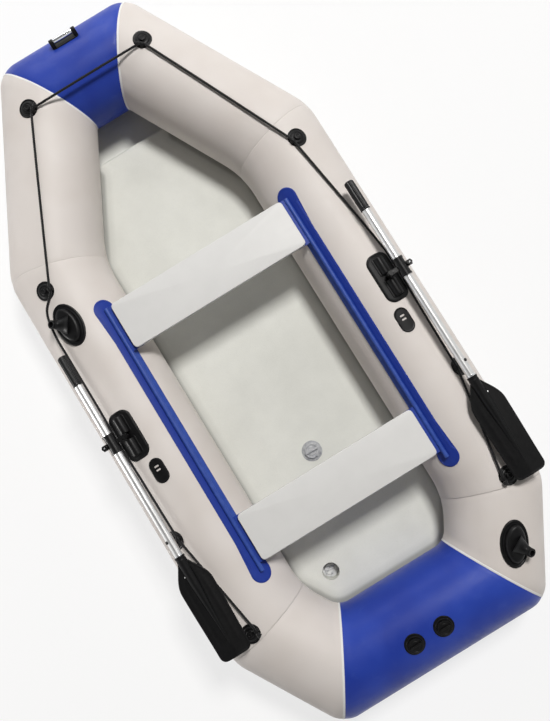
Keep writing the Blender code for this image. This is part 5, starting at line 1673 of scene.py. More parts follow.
@dataclass
class SeatRails(Assembly):
    """The two rubber rails and the sliding seats.

    Args:
        angle: Angle of the rails from the tube's top.
        front: Distance of their front end from the shoulder.
        length: Their length.
        strip: Width of the strip under a channel.
        strip_thickness: Its thickness.
        disc: Diameter of its round ends.
        band: Width, height and rib pitch of the ribbed band inboard of the channel.
        band_short: How much sooner than the rail the band ends.
        band_beside: Distance of the band from the line under the channel's axis.
        rib: Height of a rib.
        bore: Radius of the channel's bore.
        wall: Wall of the channel.
        mouth: Half the width of its mouth.
        seat: Length, width and thickness of a seat board.
        seat_corner: Radius of its corners.
        seat_edge: Radius of its edges.
        seat_under: Height of its underside.
        seat_middles: Y of the middles of the front and rear boards.
    """

    angle: float = math.radians(-34.5)
    front: float = 0.246
    length: float = 1.066
    strip: float = 0.062
    strip_thickness: float = 0.0025
    disc: float = 0.081
    band: tuple[float, float, float] = (0.023, 0.0040, 0.0065)
    band_short: float = 0.030
    band_beside: float = 0.006
    rib: float = 0.0007
    bore: float = 0.0055
    wall: float = 0.003
    mouth: float = 0.0022
    seat: tuple[float, float, float] = (0.704, 0.180, 0.018)
    seat_corner: float = 0.014
    seat_edge: float = 0.003
    seat_under: float = 0.3279
    seat_middles: tuple[float, float] = (0.250, -0.608)

    @property
    def middle(self) -> float:
        """Distance of the rail's middle from the shoulder."""
        return self.front + self.length / 2

    def outline(self) -> Array:
        """A strip between two wider discs, anticlockwise."""
        radius, neck = self.disc / 2, math.asin(self.strip / self.disc)
        bend = (math.pi - neck) * np.linspace(-1, 1, 33)
        first = np.stack([self.length / 2 + radius * np.cos(bend), radius * np.sin(bend)], axis=1)
        return evenly(np.concatenate([first, -first]), 560)

    def strip_grid(self, skin: Skin) -> Grid:
        """The strip on the skin, with a welded bead near its edge."""
        thick = self.strip_thickness / MM
        bead = 1.35 * thick
        rim = mm(
            (0, 0.5), (0.5, 0.7 * thick), (1.5, thick), (4, thick), (4.8, bead), (6.2, bead), (7, thick),
            (9, thick),
        )
        return draped(skin, self.outline(), rim, self.middle, self.angle, rings=6)

    def axis(self, skin: Skin) -> Array:
        """A point on the bead's axis at the rail's middle."""
        rise = 0.1 * MM + self.strip_thickness + self.bore + self.wall
        return skin.station(self.middle, self.angle, rise)[:3, 3]

    def channel(self, skin: Skin) -> Grid:
        """The open channel: a band bent round the bore from one lip of the mouth to the other.

        Rows go round the bore. Columns run aft on the outer wall and forward again on the inner one.
        Towards the lips the wall thins by e to the minus distance from the lip.

        Args:
            skin: The side tube.

        Returns:
            The closed surface.
        """
        middle = self.axis(skin)
        lip = math.pi - math.asin(self.mouth / self.bore)
        bend = np.linspace(-lip, lip, 41)[:, None]
        slim = 0.5 * MM * np.exp(-(1 - np.abs(bend) / lip) / 0.03)
        ends = self.length / 2 * np.linspace(-1, 1, 30)
        y = middle[1] + np.concatenate([ends, ends[::-1]])
        outer = np.broadcast_to(self.bore + self.wall - slim, (len(bend), len(ends)))
        reach = np.concatenate([outer, np.broadcast_to(self.bore + slim, outer.shape)], axis=1)
        x, z = middle[0] + reach * np.cos(bend), middle[2] + reach * np.sin(bend)
        return Grid(np.stack([x, np.broadcast_to(y, x.shape), z], axis=2)).capped()

    def root(self, skin: Skin) -> Grid:
        """The web that carries the channel on the strip."""
        place = skin.station(self.middle, self.angle)
        rise = np.linalg.norm(self.axis(skin) - place[:3, 3])
        outline = round_oblong(self.length - 1 * MM, 2 * (self.bore + self.wall) * 0.55, 1 * MM, 200)
        return plate(outline, rise - self.bore, 0.4 * MM, place)

    def ribs(self, skin: Skin) -> Grid:
        """The band inboard of the channel, ribbed across.

        Its top stands at the band's height plus a rib's times (1 + cosine of a turn per pitch) / 2,
        and falls to the strip over the outer fifth of its width by the root of 1 - t squared.

        Args:
            skin: The side tube.

        Returns:
            The closed surface.
        """
        width, high, pitch = self.band
        half = self.length / 2 - self.band_short
        x = np.arange(-half, half, pitch / 6)
        across = np.sin(np.linspace(-QUARTER_TURN, QUARTER_TURN, 13))
        fade = np.sqrt(np.clip(1 - np.clip((np.abs(across) - 0.8) / 0.2, 0, 1) ** 2, 0, 1))
        top = (high + self.rib * (1 + np.cos(FULL_TURN * x / pitch))[:, None] / 2) * (0.4 + 0.6 * fade)
        height = np.concatenate([top, np.full_like(top, 1 * MM)[:, ::-1]], axis=1)
        offset = -(width / 2 + self.band_beside) + width / 2 * np.concatenate([across, across[::-1]])
        along = np.broadcast_to((self.middle + x)[:, None], height.shape)
        return Grid(skin.on(along, self.angle + offset / skin.radius, height)).capped()

    def build(self) -> None:
        """Both rails, both boards and the beads that slide in the channels."""
        fitter, wardrobe = self.fitter, self.wardrobe
        skin = self.plan.skin(Section.SIDE)
        strip = [self.strip_grid(skin), self.root(skin)]
        fitter.pair("rail", strip, wardrobe.rail_rubber, node="seat_rail")
        fitter.pair("rail_channel", [self.channel(skin), self.ribs(skin)], wardrobe.ribbed_rubber)
        length, width, thickness = self.seat
        outline = round_oblong(length, width, self.seat_corner, 240)
        for name, middle in zip(("front_seat", "rear_seat"), self.seat_middles):
            board = plate(outline, thickness, self.seat_edge, shift(0, middle, self.seat_under), 4)
            fitter.piece(f"{name}_plank", [board], wardrobe.painted_wood, name, [f"{name}_board"])
            for side in SIDES:
                fitter.dressed(f"{name}_{side}_bead", wardrobe.rail_rubber)


# Oarlocks and oars


@dataclass
class Oarlocks(Assembly):
    """The pads that carry the oars, and the clamps on them.

    Args:
        angle: Angle of a pad from the tube's top.
        pad: Length, width and corner radius of a pad.
        ridge_length: Length over both ridges.
        ridge_width: Their width.
        ridge_axis: Height of the trunnion's axis.
        gap: Gap between the ridges.
        bed: How far the bed of a ridge reaches past it, along and across, and its height.
        screw: Place of the starboard thumb screw's top.
    """

    angle: float = math.radians(17.5)
    pad: tuple[float, float, float] = (0.187, 0.094, 0.034)
    ridge_length: float = 0.150
    ridge_width: float = 0.037
    ridge_axis: float = 0.0060
    gap: float = 0.024
    bed: tuple[float, float, float] = (0.004, 0.006, 0.0058)
    screw: tuple[float, float, float] = (0.6109, -0.088, 0.4030)

    def pad_grids(self) -> list[Grid]:
        """Pad with a raised border line, the two ridges and the raised beds that they stand on."""
        skin = self.plan.skin(Section.SIDE)
        length, width, corner = self.pad
        rim = mm(
            (0, 0.9), (0.9, 3.2), (2.2, 4.4), (4.2, 4.6), (5, 5.6), (6.4, 6), (7.8, 5.6), (8.6, 4.6),
            (11, 4.6),
        )
        outline = round_oblong(length, width, corner, 180)
        grids = [draped(skin, outline, rim, OARLOCK_ALONG, self.angle, rings=8)]
        run = (self.ridge_length - self.gap) / 2
        place = skin.station(OARLOCK_ALONG, self.angle)
        top = self.ridge_axis + self.ridge_width / 2
        past, beside, high = self.bed
        bed = round_oblong(run + 2 * past, self.ridge_width + 2 * beside, 8 * MM, 80)
        for sign in (-1, 1):
            foot = place @ shift(x=sign * (self.gap + run) / 2)
            grids.append(ridge(run, self.ridge_width, top, foot, 3 * MM))
            grids.append(plate(bed, high, 2.5 * MM, foot))
        return grids

    def glint_disc(self) -> Grid:
        """A pale steel disc in the thumb screw's head, put where the knob shows a glint: a painted
        highlight.
        """
        profile = mm((0, -1), (2.9, -1), (2.9, 0.5), (2.3, 0.8), (0, 0.5))
        return turned(filleted(profile, 0.4 * MM), shift(*self.screw), 40)

    def build(self) -> None:
        """Pads, swivels, clamps and thumb screws."""
        fitter, wardrobe = self.fitter, self.wardrobe
        fitter.pair("lock_pad", self.pad_grids(), wardrobe.black_rubber, node="oarlock_pad")
        # The steel disc in each thumb screw stands in for the knob's glint: a painted highlight.
        fitter.pair("screw_glint_disc", [self.glint_disc()], wardrobe.steel, "thumb_screw")
        hard = (
            ("oarlock_swivel", "swivel_hub", "swivel", 0.6 * MM),
            ("oar_clamp", "split_clamp", "clamp", 0.7 * MM),
            ("clamp_screw", "thumb_knob", "thumb_screw", 0.5 * MM),
        )
        for node, name, body, width in hard:
            for side in SIDES:
                plastic = wardrobe.black_plastic
                fitter.softened(f"{side}_{node}", f"{side}_{name}", plastic, f"{side}_{body}", width)


@dataclass
class Oars(Assembly):
    """The two oars at rest beside the hull.

    Args:
        axis: X, Y and Z of the shaft's axis at the clamp.
        shaft: Radius of the shaft.
        shaft_ends: Distances from the clamp of its ends, aft and forward.
        grip: Start and length of the grip from the clamp.
        grip_radius: Radius over its ribs.
        neck: Distance of the blade's neck from the clamp.
        blade: Length, width and width at the tip of the blade.
        root: Width of the web at the neck.
        shoulder: Length of the shoulder.
        tip_radius: Radius of the tip's corners.
        thickness: Thickness of the web.
        vee: Angle by which each half of the web falls away.
        edge_bead: Height of the bead along the web's edge, its distance from the edge and its width.
        web_rib: Height of the rib on each half, its place and its width as shares of that half.
        socket: Radius and length of the socket.
        spine_tip: Radius of the spine's end.
        spine_share: Where the spine ends along the blade.
        rivet_place: Distance of the rivet outboard of the spine and aft of the neck.
    """

    axis: tuple[float, float, float] = (0.5811, -0.088, 0.3879)
    shaft: float = 0.015
    shaft_ends: tuple[float, float] = (-0.527, 0.333)
    grip: tuple[float, float] = (0.233, 0.117)
    grip_radius: float = 0.018
    neck: float = 0.442
    blade: tuple[float, float, float] = (0.385, 0.124, 0.116)
    root: float = 0.022
    shoulder: float = 0.120
    tip_radius: float = 0.022
    thickness: float = 0.004
    vee: float = math.radians(8)
    edge_bead: tuple[float, float, float] = (0.0007, 0.004, 0.002)
    web_rib: tuple[float, float, float] = (0.0008, 0.55, 0.09)
    socket: tuple[float, float] = (0.018, 0.110)
    spine_tip: float = 0.003
    spine_share: float = 0.86
    rivet_place: tuple[float, float] = (0.0195, 0.072)

    def along(self, distance: float) -> Array:
        """Frame on the axis at a distance forward of the clamp, Z forward."""
        x, y, z = self.axis
        return shift(x, y + distance, z) @ turn(-QUARTER_TURN, "X")

    def tube(self) -> Grid:
        """The bare shaft."""
        low, high = self.shaft_ends
        steps = np.linspace(low, high, 40)
        profile = [(0.0, low), *[(self.shaft, step) for step in steps], (0.0, high)]
        return turned(profile, self.along(0), 72)

    def handle(self) -> Grid:
        """The grip: a collar, twelve ribs lengthwise and a rounded end with a flat middle."""
        start, length = self.grip
        rim, end = in_mm(self.grip_radius, length)
        profile = mm(
            (0, 0), (rim - 0.6, 0), (rim + 0.6, 1), (rim + 0.6, 5), (rim - 1, 7), (rim - 0.2, 12),
            (rim + 0.1, end * 0.45), (rim + 0.1, end - 9), (rim - 0.4, end - 5), (rim - 5, end),
            (rim * 0.45, end), (rim * 0.40, end - 0.8), (0, end - 0.8),
        )
        return turned(filleted(profile, 1.8 * MM), self.along(start), 144, 12, 1.5 * MM)

    def web(self) -> Grid:
        """The V-shaped web.

        Its half width grows from the root by the sine of the way along the shoulder to the power 1.5,
        falls evenly to the tip and ends in a quarter circle. The faces fall away from the middle by
        the root of x squared + a small square, times the tangent of the vee. A low bead runs along
        the edge, and on the upper face a rib runs down the middle of each half.

        Returns:
            The closed surface.
        """
        length, width, tip = self.blade
        t = np.linspace(0, 1, 90)
        s = length * (0.35 * t + 0.65 * (1 - (1 - t) ** 2.2))
        grow = np.sin(np.clip(s / self.shoulder, 0, 1) * QUARTER_TURN) ** 1.5
        full = width / 2 + (tip - width) / 2 * ease(self.shoulder, length, s)
        half = self.root / 2 + (full - self.root / 2) * grow
        into = np.clip(s - (length - self.tip_radius), 0, self.tip_radius)
        half = half - self.tip_radius + np.sqrt(np.maximum(self.tip_radius**2 - into**2, 0))
        across = np.sin(np.linspace(-QUARTER_TURN, QUARTER_TURN, 41))
        u = half[:, None] * across[None]
        soft = 4 * MM
        fall = (np.sqrt(u**2 + soft**2) - soft) * math.tan(self.vee)
        from_edge = half[:, None] * (1 - np.abs(across))[None]
        close = np.minimum(from_edge, (length - s)[:, None] + 0.4 * MM)
        plump = 0.5 * self.thickness * np.sqrt(np.clip(close / (1.6 * MM), 0.0, 1.0))
        high, *where = self.edge_bead
        bead = high * bump(*where, close)
        high, *where = self.web_rib
        rib = high * bump(*where, np.abs(across))[None] * ease(0.05, 0.15, s)[:, None]
        rib = rib * (1 - ease(length - 0.07, length - 0.03, s))[:, None]
        upper, lower = -fall + plump + bead + rib, -fall - plump - bead
        x, y, z = self.axis
        x_all = x + np.concatenate([u, u[:, -2:0:-1]], axis=1)
        y_all = np.broadcast_to((y - self.neck - s)[:, None], x_all.shape)
        z_all = z + np.concatenate([upper, lower[:, -2:0:-1]], axis=1)
        return Grid(np.stack([x_all, y_all, z_all], axis=2)).capped()

    def spine(self) -> Grid:
        """The socket with two rings, drawn out to the spine."""
        radius, run = self.socket
        end = self.blade[0] * self.spine_share
        share = np.linspace(0, 1, 30)[1:]
        wide = self.spine_tip + (radius * 0.94 - self.spine_tip) * (1 - share) ** 1.15
        taper = np.stack([wide, -run - (end - run) * share], axis=1)
        rim = radius / MM
        socket = mm(
            (0, 0), (rim * 0.86, 0), (rim + 0.8, -1.5), (rim + 0.8, -6), (rim - 0.6, -8), (rim - 0.6, -13),
            (rim + 0.4, -14.5), (rim + 0.4, -18), (rim - 0.4, -20), (rim * 0.94, -run / MM),
        )
        profile = np.concatenate([socket, taper, [(0, -end - MM)]])
        return turned(filleted(profile, 0.9 * MM), self.along(-self.neck), 64)

    def rivet(self) -> Grid:
        """A small domed rivet beside the spine."""
        x, y, z = self.axis
        off, down = self.rivet_place
        lift = self.thickness / 2 - off * math.tan(self.vee) - MM
        place = shift(x + off, y - self.neck - down, z + lift)
        return turned(filleted(mm((0, 0), (3.2, 0), (3, 1.4), (0, 2.4)), 0.9 * MM), place, 32)

    def pinch(self) -> Grid:
        """A steel collar where the shaft enters the socket."""
        low, high = self.shaft / MM - 0.5, self.shaft / MM + 0.7
        profile = mm((low, 0), (high, 0), (high, 3.5), (low, 3.5))
        return turned(filleted(profile, 0.4 * MM, 2, True), self.along(MM - self.neck), 64)

    def build(self) -> None:
        """Shaft, grip, blade, rivet, collar and snap button of each oar."""
        fitter, wardrobe = self.fitter, self.wardrobe
        blade = [self.web(), self.spine()]
        fitter.pair("shaft", [self.tube()], wardrobe.shaft_metal, "oar", "oar_shaft")
        fitter.pair("grip", [self.handle()], wardrobe.black_plastic, "oar", "oar_grip")
        fitter.pair("blade", blade, wardrobe.blade_plastic, "oar", "oar_blade")
        fitter.pair("blade_rivet", [self.rivet()], wardrobe.shaft_metal, "oar")
        fitter.pair("shaft_collar", [self.pinch()], wardrobe.steel, "oar")
        for side in SIDES:
            name, button = f"{side}_spring_button", f"{side}_button"
            fitter.softened(f"{side}_snap_button", name, wardrobe.black_plastic, button, 0.5 * MM)


# Fittings on the tubes


@dataclass(frozen=True)
class EyeletPlace:
    """Where an eyelet lies.

    Args:
        section: Section of the hull.
        along: Distance from its forward end.
        angle: Degrees from the tube's top.
        yaw: Degrees that the eye turns with the rope.
    """

    section: Section
    along: float
    angle: float
    yaw: float


@dataclass
class Eyelets(Assembly):
    """The eight rubber eyelets of the grab line.

    Args:
        places: Places of the starboard ones, by name.
        radius: Radius of the flange.
        eye_offset: How far inboard of the middle the eye stands.
        eye_height: Height of the eye's axis.
        eye_radius: Outer radius of the eye.
        eye_bore: Radius of its bore.
        eye_length: Its length along the rope.
    """

    places: dict[str, EyeletPlace]
    radius: float = 0.035
    eye_offset: float = 0.026
    eye_height: float = 0.0105
    eye_radius: float = 0.0085
    eye_bore: float = 0.005
    eye_length: float = 0.012

    @staticmethod
    def usual_places() -> dict[str, EyeletPlace]:
        """The four eyelets of a side, from the bow aft."""
        return {
            "bow_eyelet": EyeletPlace(Section.FORWARD, 0.092, 9.0, 31.0),
            "shoulder_eyelet": EyeletPlace(Section.SIDE, 0.082, 15.0, 16.0),
            "aft_eyelet": EyeletPlace(Section.SIDE, 1.069, 36.0, -5.0),
            "stern_eyelet": EyeletPlace(Section.SIDE, 1.470, 12.5, -8.0),
        }

    def frame(self, name: str) -> Array:
        """Middle of a starboard eyelet, X along the rope, Z off the tube."""
        place = self.places[name]
        skin = self.plan.skin(place.section)
        return skin.station(place.along, math.radians(place.angle), 0.0, math.radians(place.yaw))

    def eye_frame(self, name: str) -> Array:
        """Middle of its eye, Z along the rope."""
        return self.frame(name) @ shift(y=-self.eye_offset, z=self.eye_height) @ turn(QUARTER_TURN, "Y")

    def grids(self, name: str) -> list[Grid]:
        """Flange, dome and knob as one turned profile laid on the tube, and the eye with its foot."""
        place = self.places[name]
        skin = self.plan.skin(place.section)
        rim = mm(
            (0, 0.6), (0.5, 2), (1.6, 2.9), (3.2, 3.2), (4.6, 2.7), (6, 2.3), (8.8, 2.3), (9.8, 2.9),
            (11, 4.3), (12.6, 5.2), (15, 5.9), (17.2, 6.2), (18, 5.2), (20.6, 5.2), (21.6, 6.4), (23.4, 7),
            (23.9, 12), (24.7, 13.2), (26.4, 13.7), (29.4, 13.2), (30.4, 12.2), (33.6, 12),
        )
        angle, yaw = math.radians(place.angle), math.radians(place.yaw)
        flange = draped(skin, circle(self.radius, 96), rim, place.along, angle, yaw, rings=1)
        outer, bore, half = in_mm(self.eye_radius, self.eye_bore, self.eye_length / 2)
        profile = mm(
            (bore, -half), (bore + 1.8, -half - 0.6), (outer, -half * 0.9), (outer, half * 0.9),
            (bore + 1.8, half + 0.6), (bore, half),
        )
        eye = turned(filleted(profile, 1.2 * MM, 3, True), self.eye_frame(name), 48)
        outline = round_oblong(self.eye_length - MM, 2 * self.eye_radius, 2.5 * MM, 48)
        stand = self.frame(name) @ shift(y=-self.eye_offset, z=0.8 * MM)
        foot = plate(outline, self.eye_height - self.eye_bore - MM, 0.8 * MM, stand)
        return [flange, eye, foot]

    def build(self) -> None:
        """All eight."""
        rubber = self.wardrobe.black_rubber
        for name in self.places:
            self.fitter.pair(f"{name}_rubber", self.grids(name), rubber, node=name)


@dataclass
class Fittings(Assembly):
    """Horn fittings, slotted pads and the bow handle.

    Args:
        horn_pad: Length and width of a horn's pad.
        horn_root: Radius of a horn at its root.
        horn_tip: Radius at its tip.
        horn_bore: Radius and depth of its bore.
        horn_reach: Lean along the tube, reach outboard and height of its tip.
        horn_foot: Height of its root.
        aft_horn: Share of the quarter tube at which the aft horn stands, and its angle from the top.
        fore_horn_angle: The forward horn's angle from the top.
        slot_pad: Length and width of a slotted pad.
        slot_place: Distance of its middle from the shoulder, and angle from the tube's top.
        slot: Size along the boat, across it, spacing and shift forward of the slots.
        handle: Length and width of the bow handle's base.
        handle_angle: Its angle from the top of the bow tube.
        handle_height: Height of the grip's axis.
        ear: Length and width of an ear.
        grip_radius: Radius of the grip in its middle.
        pin: Radius and length of the grip's pins.
    """

    horn_pad: tuple[float, float] = (0.163, 0.104)
    horn_root: float = 0.037
    horn_tip: float = 0.0145
    horn_bore: tuple[float, float] = (0.0095, 0.042)
    horn_reach: tuple[float, float, float] = (0.026, 0.040, 0.044)
    horn_foot: float = 0.005
    aft_horn: tuple[float, float] = (0.61, math.radians(10.5))
    fore_horn_angle: float = math.radians(10.6)
    slot_pad: tuple[float, float] = (0.094, 0.054)
    slot_place: tuple[float, float] = (0.833, math.radians(7))
    slot: tuple[float, float, float, float] = (0.0065, 0.018, 0.014, 0.010)
    handle: tuple[float, float] = (0.108, 0.032)
    handle_angle: float = math.radians(30)
    handle_height: float = 0.021
    ear: tuple[float, float] = (0.016, 0.022)
    grip_radius: float = 0.0100
    pin: tuple[float, float] = (0.003, 0.010)

    def horn(self, section: Section, along: float, angle: float, toward_bow: int) -> list[Grid]:
        """Pad with a thick rim and a hump, and the horn with its flared foot and blind bore.

        The horn's axis is the curve (1 - t) squared p + 2 t (1 - t) c + t squared q from its foot p to
        its tip q, whose corner c leans out early, so that the bore looks up.

        Args:
            section: Section of the hull.
            along: Distance from its forward end.
            angle: Angle from the tube's top.
            toward_bow: 1 or -1, which way the horn leans along the tube.

        Returns:
            The surfaces.
        """
        skin = self.plan.skin(section)
        rim = mm(
            (0, 0.8), (0.6, 3), (1.8, 5.6), (4, 6.6), (6.6, 6.4), (8.6, 5), (9.8, 3.8), (14, 4), (15.6, 6),
            (17, 11), (19, 15.5), (22, 18.4), (26, 20),
        )
        pad = draped(skin, circle(0.5, 144) * self.horn_pad, rim, along, angle, rings=6)
        lean, reach, height = self.horn_reach
        tip = np.array([toward_bow * lean, reach, height])
        foot = np.array([0.0, 0.0, self.horn_foot])
        corner = tip * (0.82, 0.82, 0.5)
        t = np.linspace(0, 1, 60)[:, None]
        axis = (1 - t) ** 2 * foot + 2 * t * (1 - t) * corner + t**2 * tip
        end = travelled(axis)[-1] / MM
        bore, depth, root, rim = in_mm(*self.horn_bore, self.horn_root, self.horn_tip)
        profile = mm(
            (0, 2), (root, 2), (root - 3, 8), (root - 9, 17), (root - 14, 28), (rim + 2.6, end * 0.66),
            (rim + 0.6, end - 8), (rim + 1.4, end - 5.5), (rim + 1.2, end - 1), (rim - 0.4, end),
            (bore + 1, end), (bore, end - 1.6), (bore * 0.92, end - depth), (0, end - depth),
        )
        horn = carried(filleted(profile, 2 * MM), axis, np.array([0.9, -0.4, 0.0]), 72)
        return [pad, horn.moved(skin.station(along, angle))]

    def slotted(self) -> tuple[Grid, list[Grid]]:
        """A stadium pad with a raised rim line, and the cutters of its two slots."""
        skin = self.plan.skin(Section.SIDE)
        along, angle = self.slot_place
        length, width = self.slot_pad
        rim = mm((0, 0.5), (0.6, 1.9), (1.6, 3.4), (3, 3.9), (4.4, 3.4), (5.4, 2.7), (8, 2.7))
        pad = draped(skin, round_oblong(length, width, width / 2, 144), rim, along, angle, rings=8)
        fore_aft, across, spacing, forward = self.slot
        hole = round_oblong(fore_aft, across, fore_aft * 0.4, 40)
        places = [skin.station(along, angle) @ shift(x, z=-6 * MM) for x in (-spacing / 2, spacing / 2)]
        return pad, [plate(hole, 20 * MM, 0.1 * MM, place @ shift(-forward)) for place in places]

    def handle_grids(self) -> tuple[list[Grid], Grid]:
        """The handle's base with its ears, and the steel grip between them."""
        skin = self.plan.skin(Section.BOW)
        middle = skin.length / 2
        length, width = self.handle
        rim = mm((0, 0.6), (0.6, 2.2), (1.8, 3.2), (3.4, 3.2), (4.4, 2.6))
        outline = round_oblong(length, width, width / 3, 120)
        base = [draped(skin, outline, rim, middle, self.handle_angle, rings=6)]
        place = skin.station(middle, self.handle_angle)
        ear, ear_width = self.ear
        for sign in (-1, 1):
            foot = place @ shift(x=sign * (length - ear) / 2)
            base.append(ridge(ear, ear_width, self.handle_height + ear_width / 2, foot, 2.5 * MM))
        half = length / 2 - ear - 0.3 * MM
        radius, (pin, pin_length) = self.grip_radius, self.pin
        t = np.linspace(1, -1, 41)[1:-1]
        swell = radius - 1.5 * MM * t**2 + 0.25 * MM * np.cos(t * 40) * (1 - t**8)
        end, tip = radius - 2.2 * MM, half + pin_length
        cap = np.array([(0.0, tip), (pin, tip), (pin, half), (end, half)])
        profile = np.concatenate([cap, np.stack([swell, half * t], axis=1), (cap * (1, -1))[::-1]])
        axis = skin.station(middle, self.handle_angle, self.handle_height) @ turn(QUARTER_TURN, "Y")
        return base, turned(profile, axis, 64)

    def build(self) -> None:
        """Both horns, both slotted pads and the handle."""
        fitter, rubber = self.fitter, self.wardrobe.black_rubber
        share, angle = self.aft_horn
        aft = self.horn(Section.QUARTER, self.plan.skin(Section.QUARTER).length * share, angle, 1)
        fitter.piece("starboard_horn", aft, rubber, "hull", ["starboard_quarter_horn_fitting"])
        fore = self.horn(Section.SIDE, HORN_ALONG, self.fore_horn_angle, -1)
        fitter.piece("port_horn", sided(fore, "port"), rubber, "hull", ["port_bow_horn_fitting"])
        pad, cutters = self.slotted()
        for side, made in zip(SIDES, fitter.pair("strap_pad", [pad], rubber, node="slotted_pad")):
            fitter.bored(made, sided(cutters, side))
        base, grip = self.handle_grids()
        fitter.piece("bow_handle_feet", base, rubber, "hull", ["bow_handle_base"])
        fitter.piece("bow_handle_bar", [grip], self.wardrobe.steel, "handle_grip", ["bow_handle_grip"])


@dataclass
class GrabLine(Assembly):
    """The black line through all eight eyelets.

    Args:
        eyelets: The eyelets that it passes.
        radius: Radius over its strands.
        groove: Depth of the grooves between strands, as a share of that radius.
        lay: Length of rope in which a strand goes round once.
        spacing: Distance between two rings of points.
        passage: Length of rope that an eye guides.
        by_oarlock: Distance from the oarlock's middle, angle in degrees and height, past the pad.
        by_horn: The same past the port horn.
        turns: Turns of a stopper knot round the line.
        coil: Radius of its coil, distance of its start from the eye's middle, and its pitch.
        coil_strand: Radius of the strand that it is made of.
    """

    eyelets: Eyelets
    radius: float = 0.0047
    groove: float = 0.22
    lay: float = 0.027
    spacing: float = 0.0032
    passage: float = 0.0216
    by_oarlock: tuple[tuple[float, float, float], ...] = (
        (-0.100, 31.0, 0.0115),
        (0.0, 32.0, 0.0115),
        (0.100, 31.0, 0.0105),
    )
    by_horn: tuple[tuple[float, float, float], ...] = (
        (-0.081, 25.0, 0.0095),
        (0.0, 31.5, 0.0095),
        (0.089, 32.0, 0.0095),
    )
    turns: float = 2.6
    coil: tuple[float, float, float] = (0.0052, 0.0115, 0.0052)
    coil_strand: float = 0.0034

    def eye(self, name: str) -> list[Array]:
        """Points of the rope in a starboard eye, from its forward side aft."""
        steps = np.array([(0.0, 0.0, share * self.passage / 2) for share in (-1, 0, 1)])
        return list(transform(self.eyelets.eye_frame(name), steps))

    def beside(self, along: float, places: Sequence[tuple[float, float, float]]) -> list[Array]:
        """Points on the starboard side tube at distances from a place along it."""
        skin = self.plan.skin(Section.SIDE)
        return [skin.station(along + step, math.radians(angle), high)[:3, 3] for step, angle, high in places]

    def half(self, port: bool) -> Array:
        """Waypoints of one side, drawn to starboard, from the bow aft."""
        points = self.eye("bow_eyelet") + self.eye("shoulder_eyelet")
        if port:
            points += self.beside(HORN_ALONG, self.by_horn)
        points += self.beside(OARLOCK_ALONG, self.by_oarlock)
        return np.array(points + self.eye("aft_eyelet") + self.eye("stern_eyelet"))

    def path(self) -> Array:
        """Points along the whole line.

        Between two waypoints it is the cubic (2 t cubed - 3 t squared + 1) p + (t cubed - 2 t squared
        + t) m + (3 t squared - 2 t cubed) q + (t cubed - t squared) n, whose tangents m and n follow
        from the neighbours, shortened by the share of this stretch in the two.

        Returns:
            Array of points by three, at even distances.
        """
        port = self.half(True) * (-1, 1, 1)
        way = np.concatenate([port[::-1], self.half(False)])
        row = np.concatenate([[2 * way[0] - way[1]], way, [2 * way[-1] - way[-2]]])
        length = np.linalg.norm(np.diff(row, axis=0), axis=1)
        before, here, after, beyond = row[:-3], row[1:-2], row[2:-1], row[3:]
        last_run, run, next_run = length[:-2, None], length[1:-1, None], length[2:, None]
        first = (after - before) * run / (run + last_run)
        last = (beyond - here) * run / (run + next_run)
        t = np.linspace(0, 1, 64, endpoint=False)[None, :, None]
        curve = (
            (2 * t**3 - 3 * t**2 + 1) * here[:, None]
            + (t**3 - 2 * t**2 + t) * first[:, None]
            + (3 * t**2 - 2 * t**3) * after[:, None]
            + (t**3 - t**2) * last[:, None]
        ).reshape(-1, 3)
        curve = np.concatenate([curve, way[-1:]])
        along = travelled(curve)
        return read_at(np.linspace(0, along[-1], round(along[-1] / self.spacing)), along, curve)

    def strands(self, path: Array) -> Grid:
        """Rope of three strands.

        Its radius is that over its strands times 1 - groove + groove times the size of the cosine of
        1.5 (angle - turn of the lay).

        Args:
            path: Points of its axis.

        Returns:
            The closed surface.
        """
        along = np.arange(len(path)) * np.linalg.norm(path[1] - path[0])
        lay = around(20)[None] - FULL_TURN * along[:, None] / self.lay
        radius = self.radius * (1 - self.groove + self.groove * np.abs(np.cos(1.5 * lay)))
        return swept(path, radius, np.array([0.0, 0.0, 1.0]), 20)

    def knot(self, name: str, forward: int) -> Grid:
        """A stopper knot beside a starboard eye: a thin tapered coil round the line.

        Args:
            name: The eyelet.
            forward: -1 for the side of the eye towards the bow, 1 for the other.

        Returns:
            The closed surface.
        """
        t = np.linspace(0, self.turns, 84)
        angle = t * FULL_TURN
        radius, start, pitch = self.coil
        reach = radius + 0.8 * MM * np.cos(angle * 0.5)
        along = forward * (start + pitch * t)
        flat = np.stack([reach * np.cos(angle), reach * np.sin(angle), along], axis=1)
        place = self.eyelets.eye_frame(name)
        thin = self.coil_strand * np.minimum(1, 0.4 + 4 * np.minimum(t, self.turns - t))
        return swept(transform(place, flat), thin[:, None], place[:3, 2], 16)

    def build(self) -> None:
        """The line with its stopper knots."""
        grids = [self.strands(self.path())]
        for name, forward in (("bow_eyelet", -1), ("stern_eyelet", 1)):
            knot = self.knot(name, forward)
            grids += [knot, knot.mirrored()]
        rope = self.wardrobe.rope
        self.fitter.piece("grab_rope", grids, rope, "hull", ["grab_line"], Shade.ROUND)


# Studio


